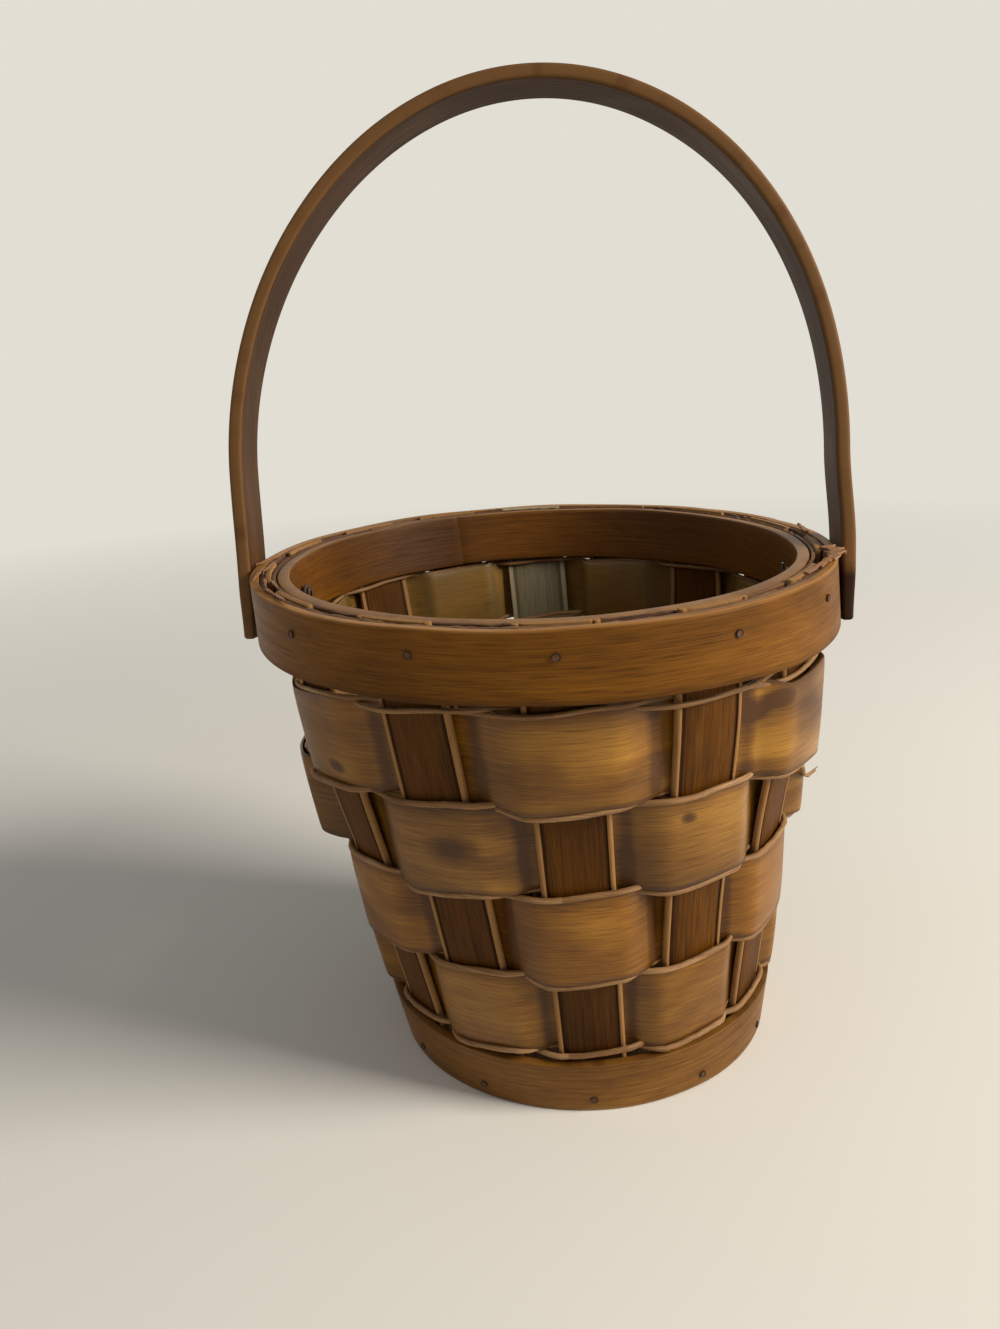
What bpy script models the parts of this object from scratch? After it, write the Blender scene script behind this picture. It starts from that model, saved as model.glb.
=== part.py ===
# Round splint basket with a bentwood handle that swings on two rivets through the rim.
# Metres, +Z up. The origin is on the surface it stands on, under the middle of the rim.
# Azimuths are in degrees, from the front (-Y) toward the right (+X).
import math

import bmesh
import bpy
from mathutils import Vector

# Overall form
RIM_RADIUS = 0.100  # outside of the outer rim hoop, at its top edge
RIM_HEIGHT = 0.1778  # top of the rim
RIM_BAND = 0.0215  # height of the outer rim hoop
RIM_FLARE = 0.0005  # how far the lower edge of the outer rim hoop stands out past its top
BASE_RADIUS = 0.0690  # outside of the base hoop, on the floor
BASE_BAND = 0.0205
BASE_OFFSET = 0.0089  # the hand-made body leans: its base lies this far right of the rim
FIT = 0.0005  # clearance between one curved layer and the next
SEAT = 0.0003  # clearance between a fastener and the face it bears on

# Hoops, each one strip of wood whose two thinned ends lap
OUTER_HOOP_THICK = 0.0030
INNER_HOOP_THICK = 0.0040
INNER_HOOP_BAND = 0.0200
INNER_HOOP_SETBACK = 0.0008  # play between the inner hoop's top edge and the filler strip
BASE_HOOP_THICK = 0.0030
HOOP_SIDES = 72
LAP_STEPS = 5  # length of a lap, in sides of the hoop
LAP_TIP = 0.0006  # thickness left at the thinned end
OUTER_HOOP_LAP = 118.0
INNER_HOOP_LAP = 205.0
BASE_HOOP_LAP = 240.0

# Thin filler strips that pack the rim on both sides of the stakes' ends
OUTER_FILLER_THICK = 0.0010
INNER_FILLER_THICK = 0.0007
FILLER_BAND = 0.0058
OUTER_FILLER_END = 72.0
INNER_FILLER_END = 150.0
FILLER_END_GAP = 1.5  # degrees between the two ends of a filler strip

# Stakes
STAKE_COUNT = 14
FIRST_STAKE = -3
STAKE_THICK = 0.0020
STAKE_TOP_WIDTH = 0.0245
STAKE_FOOT_WIDTH = 0.0220
STAKE_EDGE = 0.0006  # bevel along the stake's outer edges
FRONT_STAKE_AZIMUTH = 4.0
FRONT_SPREAD = 7.5  # the stakes are set wider at the front than at the back
SIDE_BELLY = 0.0035  # how far the weave pushes the side stakes out between the hoops
BELLY_STEPS = 4

# Weavers, two half strips to a row, and the pairs of twined strands between the rows
ROWS = 4
TOP_TWINE_DROP = 0.0053  # from the lower edge of the outer rim hoop to the first pair
TOP_TWINE_SAG = 0.0045  # how much lower the first pair lies at the sides than at the front
LOW_TWINE_RISE = 0.0029  # from the top of the base hoop to the last pair
BACK_TWINE_DROP = 0.0015  # from the lower edge of the hoop to the first pair at the back
BACK_CLIMB = 0.7  # cosine of the angle from the back at which the first pair has climbed there
BACK_LIFTS = (0.0, 0.0134, 0.0083, 0.0039, 0.0)  # how much higher the other pairs lie there
STRAND_TALL = 0.0020
STRAND_THICK = 0.0018
STRAND_PLAY = 0.0004  # clearance where the two strands of a pair cross
STRAND_END_GAP = 1.2  # degrees between the ends of a strand, behind a stake
WEAVER_THICK = 0.0010
WEAVER_SLOPE = 0.06  # lean of a weaver's face, less than the lean of the stakes
SIDE_SLACK = 0.0020  # how far a weaver stands off the side stakes that it passes outside
WEAVER_TIP = 0.6  # where a weaver ends on its last stake, as a share of the half width

# Base
DISC_THICK = 0.0080

# Tacks
TACK_SIDES = 8
TACK_HEAD_RADIUS = 0.00125
TACK_HEAD_THICK = 0.0004
TACK_SHANK_RADIUS = 0.00055
TACK_BITE = 0.0020  # how deep a tack goes into the last layer it holds
TACK_DROP = 0.0076  # below the top of the rim
TACK_STRAYS = (2.0, 6.0, 4.5, -0.5, 1.7, 1.2, -2.0)  # degrees from each stake's middle
BORE_PLAY = 0.0003  # clearance round a shank

# Swing handle
PIVOT_DROP = 0.0118  # below the top of the rim
LEG_CLEARANCE = 0.00165  # between the outer rim hoop's top edge and a leg
HANDLE_THICK = 0.0047
HANDLE_WIDTH = 0.0218
HANDLE_EDGE = 0.0009
LEG_BELOW_PIVOT = 0.0145
BOW_START = 0.0434  # above the pivot, where the legs turn into the bow
BOW_RISE = 0.1243
BOW_STEPS = 30
BOW_PINCH = 0.0010  # the bow's sides stand this far inside the ends of its legs
HANDLE_LEAN = 9.25  # degrees back from upright

# Rivets and their washers
RIVET_SHANK_RADIUS = 0.0015
RIVET_HEAD_RADIUS = 0.0034
RIVET_HEAD_THICK = 0.0012
RIVET_CLINCH_RADIUS = 0.0026
RIVET_CLINCH_THICK = 0.0009
WASHER_RADIUS = 0.0036
WASHER_THICK = 0.0008
RIVET_SIDES = 16

DARK_WOOD = (0.10, 0.045, 0.015)
STAKE_WOOD = (0.11, 0.055, 0.012)
WEAVER_WOOD = (0.27, 0.15, 0.06)
STRAND_WOOD = (0.22, 0.13, 0.06)
RIM_WOOD = (0.20, 0.085, 0.022)
BASE_WOOD = (0.24, 0.14, 0.07)
TACK_METAL = (0.12, 0.08, 0.05)
RIVET_METAL = (0.45, 0.42, 0.38)

# Radii of the layers, from the outer rim hoop inward and from the base hoop inward
RIM_WALL = RIM_RADIUS - OUTER_HOOP_THICK - FIT - OUTER_FILLER_THICK - FIT - STAKE_THICK / 2
BASE_WALL = BASE_RADIUS - BASE_HOOP_THICK - FIT - STAKE_THICK / 2
WALL_SLOPE = (RIM_WALL - BASE_WALL) / RIM_HEIGHT

# Middle of a leg from the body's middle, and height of the pivots
HANDLE_HALF_SPAN = RIM_RADIUS + LEG_CLEARANCE + HANDLE_THICK / 2
PIVOT_HEIGHT = RIM_HEIGHT - PIVOT_DROP


def clear_scene():
    for obj in list(bpy.data.objects):
        bpy.data.objects.remove(obj, do_unlink=True)


def wall(z):
    """Radius of the middle of the stakes at a height."""
    return BASE_WALL + WALL_SLOPE * z


def stake_outer(z):
    return wall(z) + STAKE_THICK / 2


def stake_inner(z):
    return wall(z) - STAKE_THICK / 2


def outward(azimuth):
    angle = math.radians(azimuth)
    return Vector((math.sin(angle), -math.cos(angle), 0.0))


def place(azimuth, radius, z):
    """A point round the body's leaning axis, which crosses the rim's middle at the pivots."""
    axis = Vector((BASE_OFFSET * (1 - z / PIVOT_HEIGHT), 0.0, z))
    return axis + outward(azimuth) * radius


def sideways(azimuth):
    """0 at the front and the back, 1 at the two sides."""
    return math.sin(math.radians(azimuth)) ** 2


def bulge(azimuth, z):
    """0 where the hoops hold the wall straight, 1 where it bows most, high on the sides."""
    low = BASE_BAND
    high = RIM_HEIGHT - RIM_BAND
    share = min(max((z - low) / (high - low), 0.0), 1.0)
    return math.sin(math.pi * share ** 2) * sideways(azimuth)


def belly(azimuth, z):
    return SIDE_BELLY * bulge(azimuth, z)


def twine_level(row, azimuth):
    """The pairs are even in front, sag at the sides and climb at the back to meet the hoops."""
    high = RIM_HEIGHT - RIM_BAND - TOP_TWINE_DROP - TOP_TWINE_SAG * sideways(azimuth)
    low = BASE_BAND + LOW_TWINE_RISE
    level = high + (low - high) * row / ROWS
    backward = max(-math.cos(math.radians(azimuth)), 0.0)
    if row == 0:
        climb = min(backward / BACK_CLIMB, 1.0)
        pressed = RIM_HEIGHT - RIM_BAND - BACK_TWINE_DROP
        return level + (pressed - level) * climb * climb * (3 - 2 * climb)
    return level + BACK_LIFTS[int(row)] * backward ** 2


def stake_azimuth(number):
    even = number * 360.0 / STAKE_COUNT
    return FRONT_STAKE_AZIMUTH + even + FRONT_SPREAD * math.sin(math.radians(even))


def stake_half_angle(z):
    share = z / RIM_HEIGHT
    width = STAKE_FOOT_WIDTH + (STAKE_TOP_WIDTH - STAKE_FOOT_WIDTH) * share
    return math.degrees(width / 2 / wall(z))


def wood(obj, colour, roughness=0.55, metallic=0.0):
    material = bpy.data.materials.new(obj.name)
    material.use_nodes = True
    shader = material.node_tree.nodes["Principled BSDF"]
    shader.inputs["Base Color"].default_value = (*colour, 1.0)
    shader.inputs["Roughness"].default_value = roughness
    shader.inputs["Metallic"].default_value = metallic
    obj.data.materials.append(material)


def add_object(name, bm):
    bmesh.ops.recalc_face_normals(bm, faces=bm.faces)
    mesh = bpy.data.meshes.new(name)
    bm.to_mesh(mesh)
    bm.free()
    mesh.shade_smooth()
    mesh.set_sharp_from_angle(angle=math.radians(35))
    obj = bpy.data.objects.new(name, mesh)
    bpy.context.scene.collection.objects.link(obj)
    return obj


def add_loft(bm, sections, ring=False):
    """Join outlines of equal length into a closed solid, capped unless it runs in a ring."""
    loops = [[bm.verts.new(point) for point in section] for section in sections]
    pairs = list(zip(loops, loops[1:]))
    if ring:
        pairs.append((loops[-1], loops[0]))
    for near, far in pairs:
        count = len(near)
        for i in range(count):
            j = (i + 1) % count
            bm.faces.new((near[i], near[j], far[j], far[i]))
    if not ring:
        bm.faces.new(loops[0])
        bm.faces.new(loops[-1])


def loft(name, sections, ring=False):
    bm = bmesh.new()
    add_loft(bm, sections, ring)
    return add_object(name, bm)


def strip_section(azimuth, inner, outer, z_low, z_high):
    """Upright slice of a strip whose faces are radii that depend on height."""
    return [
        place(azimuth, inner(z_low), z_low),
        place(azimuth, outer(z_low), z_low),
        place(azimuth, outer(z_high), z_high),
        place(azimuth, inner(z_high), z_high),
    ]


def lapped_hoop(name, inner, thick, z_low, z_high, lap_azimuth):
    """A strip bent once round, its ends thinned to a scarf and laid over each other."""
    step = 360.0 / HOOP_SIDES
    thinned = thick - FIT - LAP_TIP
    sections = []
    for i in range(HOOP_SIDES + LAP_STEPS + 1):
        start_share = min(i / LAP_STEPS, 1.0)
        end_share = max((i - HOOP_SIDES) / LAP_STEPS, 0.0)
        height = thick
        lift = 0.0
        if i <= LAP_STEPS:
            height = LAP_TIP + (thinned - LAP_TIP) * start_share
        if i >= HOOP_SIDES:
            lift = LAP_TIP + (thinned - LAP_TIP) * end_share + FIT
        sections.append(strip_section(
            lap_azimuth + i * step,
            lambda z: inner(z) + lift,
            lambda z: inner(z) + height,
            z_low, z_high))
    return loft(name, sections)


def open_strip(name, inner, thick, z_low, z_high, end_azimuth):
    """A thin strip bent once round, its ends meeting with a small gap."""
    span = 360.0 - FILLER_END_GAP
    sections = []
    for i in range(HOOP_SIDES + 1):
        sections.append(strip_section(
            end_azimuth + FILLER_END_GAP / 2 + span * i / HOOP_SIDES,
            inner, lambda z: inner(z) + thick, z_low, z_high))
    return loft(name, sections)


def outer_hoop_inner(z):
    drop = (RIM_HEIGHT - z) / RIM_BAND
    return RIM_RADIUS - OUTER_HOOP_THICK + RIM_FLARE * drop


def inner_hoop_outer(z):
    """Touches the stakes at its lower edge and the inner filler strip at its top."""
    low = RIM_HEIGHT - INNER_HOOP_BAND
    low_radius = stake_inner(low) - FIT
    top_radius = stake_inner(RIM_HEIGHT) - FIT - INNER_FILLER_THICK - INNER_HOOP_SETBACK
    return low_radius + (top_radius - low_radius) * (z - low) / INNER_HOOP_BAND


def inner_hoop_inner(z):
    return inner_hoop_outer(z) - INNER_HOOP_THICK


def base_hoop_inner(z):
    return stake_outer(z) + FIT


def radial_rod(bm, azimuth, z, stations, sides=TACK_SIDES):
    """A turned piece that lies along a radius: stations are (radius from the axis, size)."""
    out = outward(azimuth)
    side = out.cross(Vector((0, 0, 1)))
    up = Vector((0, 0, 1))
    sections = []
    for distance, size in stations:
        centre = place(azimuth, distance, z)
        sections.append([
            centre + size * (math.cos(turn) * side + math.sin(turn) * up)
            for turn in (2 * math.pi * i / sides for i in range(sides))])
    add_loft(bm, sections)


def cutter(name, bm):
    obj = add_object(name, bm)
    obj.hide_render = True
    obj.display_type = "WIRE"
    return obj


def cut(obj, tool):
    modifier = obj.modifiers.new(tool.name, "BOOLEAN")
    modifier.operation = "DIFFERENCE"
    modifier.solver = "EXACT"
    modifier.object = tool


def tack_azimuths():
    """One tack through each stake, but not under the handle's leg, where the rivet holds."""
    half_leg = math.degrees(HANDLE_WIDTH / 2 / RIM_RADIUS)
    azimuths = []
    for i in range(STAKE_COUNT):
        azimuth = stake_azimuth(FIRST_STAKE + i) + TACK_STRAYS[i % len(TACK_STRAYS)]
        if min(abs(azimuth - 90.0), abs(azimuth - 270.0)) > half_leg:
            azimuths.append(azimuth)
    return azimuths


def build_tacks():
    """Tacks through the outer rim hoop and the stakes into the inner rim hoop."""
    z = RIM_HEIGHT - TACK_DROP
    surface = outer_hoop_inner(z) + OUTER_HOOP_THICK
    seat = surface + SEAT
    end = inner_hoop_outer(z) - TACK_BITE
    bore = TACK_SHANK_RADIUS + BORE_PLAY
    bores = bmesh.new()
    for i, azimuth in enumerate(tack_azimuths()):
        bm = bmesh.new()
        radial_rod(bm, azimuth, z, [
            (seat + TACK_HEAD_THICK, TACK_HEAD_RADIUS),
            (seat, TACK_HEAD_RADIUS),
            (seat, TACK_SHANK_RADIUS),
            (end, TACK_SHANK_RADIUS)])
        tack = add_object(f"rim_tack_{i + 1:02d}", bm)
        wood(tack, TACK_METAL, 0.5, 0.7)
        radial_rod(bores, azimuth, z, [(surface + FIT, bore), (end - BORE_PLAY, bore)])
    return cutter("tack_bores", bores)


def build_hoops():
    rim_outer = lapped_hoop("rim_outer_hoop", outer_hoop_inner, OUTER_HOOP_THICK,
                            RIM_HEIGHT - RIM_BAND, RIM_HEIGHT, OUTER_HOOP_LAP)
    rim_inner = lapped_hoop("rim_inner_hoop", inner_hoop_inner, INNER_HOOP_THICK,
                            RIM_HEIGHT - INNER_HOOP_BAND, RIM_HEIGHT, INNER_HOOP_LAP)
    base = lapped_hoop("base_hoop", base_hoop_inner, BASE_HOOP_THICK,
                       0.0, BASE_BAND, BASE_HOOP_LAP)
    for hoop in (rim_outer, rim_inner, base):
        wood(hoop, RIM_WOOD)
    return rim_outer, rim_inner


def build_fillers():
    low = RIM_HEIGHT - FILLER_BAND
    outer = open_strip("rim_filler_outer", lambda z: stake_outer(z) + FIT,
                       OUTER_FILLER_THICK, low, RIM_HEIGHT, OUTER_FILLER_END)
    inner = open_strip("rim_filler_inner", lambda z: stake_inner(z) - FIT - INNER_FILLER_THICK,
                       INNER_FILLER_THICK, low, RIM_HEIGHT, INNER_FILLER_END)
    for strip in (outer, inner):
        wood(strip, STRAND_WOOD)


def build_disc():
    rings = []
    for z in (0.0, DISC_THICK):
        radius = stake_inner(z) - FIT
        rings.append([place(360.0 * i / HOOP_SIDES, radius, z) for i in range(HOOP_SIDES)])
    disc = loft("base_disc", rings)
    wood(disc, BASE_WOOD)


def stake_section(azimuth, z):
    """Curved outline of a stake: a wide face with bevelled edges and a plain back."""
    half = stake_half_angle(z)
    bevel = math.degrees(STAKE_EDGE / wall(z))
    face = half - bevel
    front = stake_outer(z)
    back = stake_inner(z)
    outline = [(-face, front), (-face / 3, front), (face / 3, front), (face, front)]
    outline += [(half, front - STAKE_EDGE), (half, back)]
    outline += [(half / 3, back), (-half / 3, back)]
    outline += [(-half, back), (-half, front - STAKE_EDGE)]
    return [
        place(azimuth + turn, radius + belly(azimuth + turn, z), z)
        for turn, radius in outline]


def build_stakes():
    """Straight between the hoops' layers, and bowed from one hoop to the other."""
    low = BASE_BAND
    high = RIM_HEIGHT - RIM_BAND
    levels = [0.0]
    levels += [low + (high - low) * i / BELLY_STEPS for i in range(BELLY_STEPS + 1)]
    levels.append(RIM_HEIGHT)
    stakes = []
    for i in range(STAKE_COUNT):
        azimuth = stake_azimuth(FIRST_STAKE + i)
        stake = loft(f"stake_{i + 1:02d}", [stake_section(azimuth, z) for z in levels])
        wood(stake, STAKE_WOOD)
        stakes.append(stake)
    return stakes


def strand_path(row, lead, start):
    """Azimuth, side (1 in front of a stake, -1 behind) and rise along one twined strand."""
    half = stake_half_angle(twine_level(row, FRONT_STAKE_AZIMUTH))
    rise = (STRAND_TALL + STRAND_PLAY) / 2
    gap = STRAND_END_GAP / 2
    points = []
    for number in range(start, start + STAKE_COUNT + 1):
        side = 1 if (number + lead) % 2 == 0 else -1
        middle = stake_azimuth(number)
        if number == start:
            points.append((middle + gap, side, 0.0))
        else:
            points.append((middle - half, side, -side * rise))
            points.append((middle - gap if number == start + STAKE_COUNT else middle, side, 0.0))
        if number < start + STAKE_COUNT:
            edge = middle + half
            points.append((edge, side, side * rise))
            points.append(((edge + stake_azimuth(number + 1) - half) / 2, 0, side * rise))
    return points


def build_strand(row, lead):
    lean = WALL_SLOPE * STRAND_TALL
    reach = (STAKE_THICK + STRAND_THICK) / 2 + FIT + lean
    start = STAKE_COUNT // 2 + lead + 2 * (row % 2)
    sections = []
    for azimuth, side, rise in strand_path(row, lead, start + 1):
        level = twine_level(row, azimuth)
        z = level + rise
        middle = wall(level) + belly(azimuth, level) + side * reach
        low = z - STRAND_TALL / 2
        high = z + STRAND_TALL / 2
        sections.append(strip_section(
            azimuth, lambda _: middle - STRAND_THICK / 2, lambda _: middle + STRAND_THICK / 2,
            low, high))
    strand = loft(f"twine_{row + 1}_strand_{'ab'[lead]}", sections)
    wood(strand, STRAND_WOOD)


def weaver_side(number, row, back):
    """1 where the weaver passes in front of a stake. The back half is woven the other way."""
    return 1 if (number + row + back) % 2 == 0 else -1


def weaver_path(row, back):
    """Azimuth, side and layer along a half weaver, which laps its neighbour by one stake."""
    half = stake_half_angle(twine_level(row + 0.5, FRONT_STAKE_AZIMUTH))
    last_front = FIRST_STAKE + STAKE_COUNT // 2 - 1
    first = last_front + 1 if back else FIRST_STAKE
    last = first + STAKE_COUNT // 2 - 1
    points = []
    for number in range(first - 1, last + 2):
        lapped = number <= first or number >= last
        if number < first:
            side = weaver_side(first, row, back)
        elif number > last:
            side = weaver_side(last, row, back)
        else:
            side = weaver_side(number, row, back)
        layer = 1 if lapped and (side > 0) != bool(back) else 0
        middle = stake_azimuth(number)
        if number < first:
            points.append((middle - half * WEAVER_TIP, side, layer))
        else:
            points.append((middle - half, side, layer))
        points.append((middle, side, layer))
        if number > last:
            points.append((middle + half * WEAVER_TIP, side, layer))
            continue
        points.append((middle + half, side, layer))
        beside_lap = number < first or number == last
        turn = (middle + half + stake_azimuth(number + 1) - half) / 2
        points.append((turn, side if beside_lap else 0, layer if beside_lap else 0))
    return points


def weaver_radius(azimuth, side, z_low, z_high):
    """Radius at mid height of a strip whose face clears the stakes at both of its edges."""
    middle = (z_low + z_high) / 2
    if side == 0:
        return wall(middle) + belly(azimuth, middle)
    edges = [
        wall(z) + belly(azimuth, z) - WEAVER_SLOPE * (z - middle) for z in (z_low, z_high)]
    reach = (STAKE_THICK + WEAVER_THICK) / 2 + FIT
    if side > 0:
        return max(edges) + reach + SIDE_SLACK * bulge(azimuth, middle)
    return min(edges) - reach


def build_weaver(row, back):
    """A straight strip stands more upright than the stakes, so its lower edge stands off."""
    margin = STRAND_TALL + STRAND_PLAY / 2 + FIT
    sections = []
    for azimuth, side, layer in weaver_path(row, back):
        z_high = twine_level(row, azimuth) - margin
        z_low = twine_level(row + 1, azimuth) + margin
        middle = (z_low + z_high) / 2
        radius = weaver_radius(azimuth, side, z_low, z_high)
        radius += side * layer * (WEAVER_THICK + FIT)
        sections.append(strip_section(
            azimuth,
            lambda z: radius + WEAVER_SLOPE * (z - middle) - WEAVER_THICK / 2,
            lambda z: radius + WEAVER_SLOPE * (z - middle) + WEAVER_THICK / 2,
            z_low, z_high))
    weaver = loft(f"weaver_{row + 1}_{'back' if back else 'front'}", sections)
    wood(weaver, WEAVER_WOOD, 0.45)


def bow_path():
    """Middle line of the handle, upright, as (point, outward normal) in the pivot's frame."""
    left = Vector((-1, 0, 0))
    right = Vector((1, 0, 0))
    half_span = HANDLE_HALF_SPAN - BOW_PINCH
    path = [
        (-HANDLE_HALF_SPAN, -LEG_BELOW_PIVOT, left),
        (-HANDLE_HALF_SPAN, HANDLE_WIDTH / 2, left),
    ]
    for i in range(BOW_STEPS + 1):
        turn = math.pi * i / BOW_STEPS
        x = -half_span * math.cos(turn)
        z = BOW_START + BOW_RISE * math.sin(turn)
        normal = Vector((-math.cos(turn) / half_span, 0, math.sin(turn) / BOW_RISE))
        path.append((x, z, normal.normalized()))
    path += [
        (HANDLE_HALF_SPAN, HANDLE_WIDTH / 2, right),
        (HANDLE_HALF_SPAN, -LEG_BELOW_PIVOT, right),
    ]
    return [(Vector((x, 0, z)), normal) for x, z, normal in path]


def build_handle():
    half_thick = HANDLE_THICK / 2
    half_width = HANDLE_WIDTH / 2
    flat_thick = half_thick - HANDLE_EDGE
    flat_width = half_width - HANDLE_EDGE
    outline = [
        (half_thick, -flat_width), (half_thick, flat_width),
        (flat_thick, half_width), (-flat_thick, half_width),
        (-half_thick, flat_width), (-half_thick, -flat_width),
        (-flat_thick, -half_width), (flat_thick, -half_width),
    ]
    sections = [
        [point + normal * out + Vector((0, across, 0)) for out, across in outline]
        for point, normal in bow_path()]
    handle = loft("handle_bow", sections)
    handle.location = (0, 0, PIVOT_HEIGHT)
    handle.rotation_euler = (-math.radians(HANDLE_LEAN), 0, 0)
    wood(handle, DARK_WOOD)
    return handle


def build_rivet(side, azimuth):
    """The inner hoop leans, so its washer bears at its lower edge, on the leaning side first."""
    lean = BASE_OFFSET * WASHER_RADIUS / PIVOT_HEIGHT
    washer_face = inner_hoop_inner(PIVOT_HEIGHT - WASHER_RADIUS) - lean - SEAT
    clinch_face = washer_face - WASHER_THICK - SEAT
    head_face = HANDLE_HALF_SPAN + HANDLE_THICK / 2 + SEAT
    bm = bmesh.new()
    radial_rod(bm, azimuth, PIVOT_HEIGHT, [
        (clinch_face - RIVET_CLINCH_THICK, RIVET_SHANK_RADIUS),
        (clinch_face - RIVET_CLINCH_THICK / 2, RIVET_CLINCH_RADIUS),
        (clinch_face, RIVET_CLINCH_RADIUS),
        (clinch_face, RIVET_SHANK_RADIUS),
        (head_face, RIVET_SHANK_RADIUS),
        (head_face, RIVET_HEAD_RADIUS),
        (head_face + RIVET_HEAD_THICK / 2, RIVET_HEAD_RADIUS),
        (head_face + RIVET_HEAD_THICK, RIVET_CLINCH_RADIUS)], RIVET_SIDES)
    rivet = add_object(f"rivet_{side}", bm)
    wood(rivet, RIVET_METAL, 0.35, 0.9)
    bm = bmesh.new()
    out = outward(azimuth)
    across = out.cross(Vector((0, 0, 1)))
    hole = RIVET_SHANK_RADIUS + BORE_PLAY
    sections = []
    for i in range(RIVET_SIDES):
        turn = 2 * math.pi * i / RIVET_SIDES
        arm = math.cos(turn) * across + math.sin(turn) * Vector((0, 0, 1))
        sections.append([
            place(azimuth, distance, PIVOT_HEIGHT) + arm * size
            for distance, size in (
                (washer_face, hole), (washer_face, WASHER_RADIUS),
                (washer_face - WASHER_THICK, WASHER_RADIUS), (washer_face - WASHER_THICK, hole))])
    add_loft(bm, sections, ring=True)
    washer = add_object(f"washer_{side}", bm)
    wood(washer, RIVET_METAL, 0.35, 0.9)


def build_rivet_bores():
    bm = bmesh.new()
    radius = RIVET_SHANK_RADIUS + BORE_PLAY
    clear = HANDLE_THICK
    for azimuth in (90.0, 270.0):
        radial_rod(bm, azimuth, PIVOT_HEIGHT, [
            (inner_hoop_inner(PIVOT_HEIGHT) - clear, radius),
            (HANDLE_HALF_SPAN + HANDLE_THICK / 2 + clear, radius)], RIVET_SIDES)
    return cutter("rivet_bores", bm)


def build_basket():
    rim_outer, rim_inner = build_hoops()
    build_fillers()
    build_disc()
    stakes = build_stakes()
    for row in range(ROWS + 1):
        for lead in (0, 1):
            build_strand(row, lead)
    for row in range(ROWS):
        for back in (0, 1):
            build_weaver(row, back)

    tack_bores = build_tacks()
    rivet_bores = build_rivet_bores()
    for obj in (rim_outer, rim_inner, *stakes):
        cut(obj, tack_bores)
        cut(obj, rivet_bores)
    build_rivet("right", 90.0)
    build_rivet("left", 270.0)
    return rivet_bores


clear_scene()
bores = build_basket()
cut(build_handle(), bores)
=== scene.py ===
from math import cos, degrees, exp, pi, radians, sin, sqrt, tan, tau

import bpy
from mathutils import Matrix, Vector, noise


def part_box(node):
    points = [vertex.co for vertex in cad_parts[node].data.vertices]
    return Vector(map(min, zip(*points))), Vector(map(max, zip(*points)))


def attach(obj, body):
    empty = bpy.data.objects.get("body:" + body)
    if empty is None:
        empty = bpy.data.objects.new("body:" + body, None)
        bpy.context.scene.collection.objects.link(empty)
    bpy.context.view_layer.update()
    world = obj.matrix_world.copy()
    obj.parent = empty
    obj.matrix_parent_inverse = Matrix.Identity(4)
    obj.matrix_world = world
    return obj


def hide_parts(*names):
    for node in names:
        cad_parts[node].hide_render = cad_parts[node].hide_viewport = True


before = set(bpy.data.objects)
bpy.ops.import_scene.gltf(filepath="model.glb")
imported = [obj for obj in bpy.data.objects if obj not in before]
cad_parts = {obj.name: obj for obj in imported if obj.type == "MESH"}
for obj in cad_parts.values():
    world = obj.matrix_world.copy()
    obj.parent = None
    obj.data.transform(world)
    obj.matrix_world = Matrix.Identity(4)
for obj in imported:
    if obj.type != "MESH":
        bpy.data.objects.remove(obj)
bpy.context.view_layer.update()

# Base board
# A round board turned from one wide plank closes the bottom. It stands inside the feet of the
# stakes and carries the load. It was stained with the rest, and its grain runs front to back.
BOARD_LOW, BOARD_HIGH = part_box("base_disc")
BOARD_EDGE = 0.0008
BOARD_SIDES = 144
BOARD_PLAY = 0.0006  # kept clear of the feet all round
BOARD_GRAIN = 0.4  # a wide plank's grain is coarser than a splint's
FOOT_SET = 0.0089  # the body leans: its foot lies this far right of its rim
PIVOT_HEIGHT = (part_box("rivet_left")[0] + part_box("rivet_left")[1]).z / 2
FIBRE_WAVES = (90.0, 3000.0)  # waves to a metre along and across the grain
STREAK_WAVES = (13.0, 800.0)
CLOUD_WAVES = (16.0, 38.0)
FIBRE_SHARE, STREAK_SHARE, DIRT_AND_SHADE_SHARE = 0.6, 0.9, 0.55  # what each adds to the shade
SHADE_STOPS = (0.08, 0.5, 0.92)  # where the dark, the middle and the pale shade lie
PORE_DEPTHS = (0.22, 0.27, 0.32)  # how much a pore takes off red, green and blue
KNOT_STRETCH = 0.6  # a knot is longer along the grain
KNOT_RAGGED = 2.5
INSIDE_SHARE = 0.6  # how much of the painted cool light shows on an inner face
RELIEF = 0.00015


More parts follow.
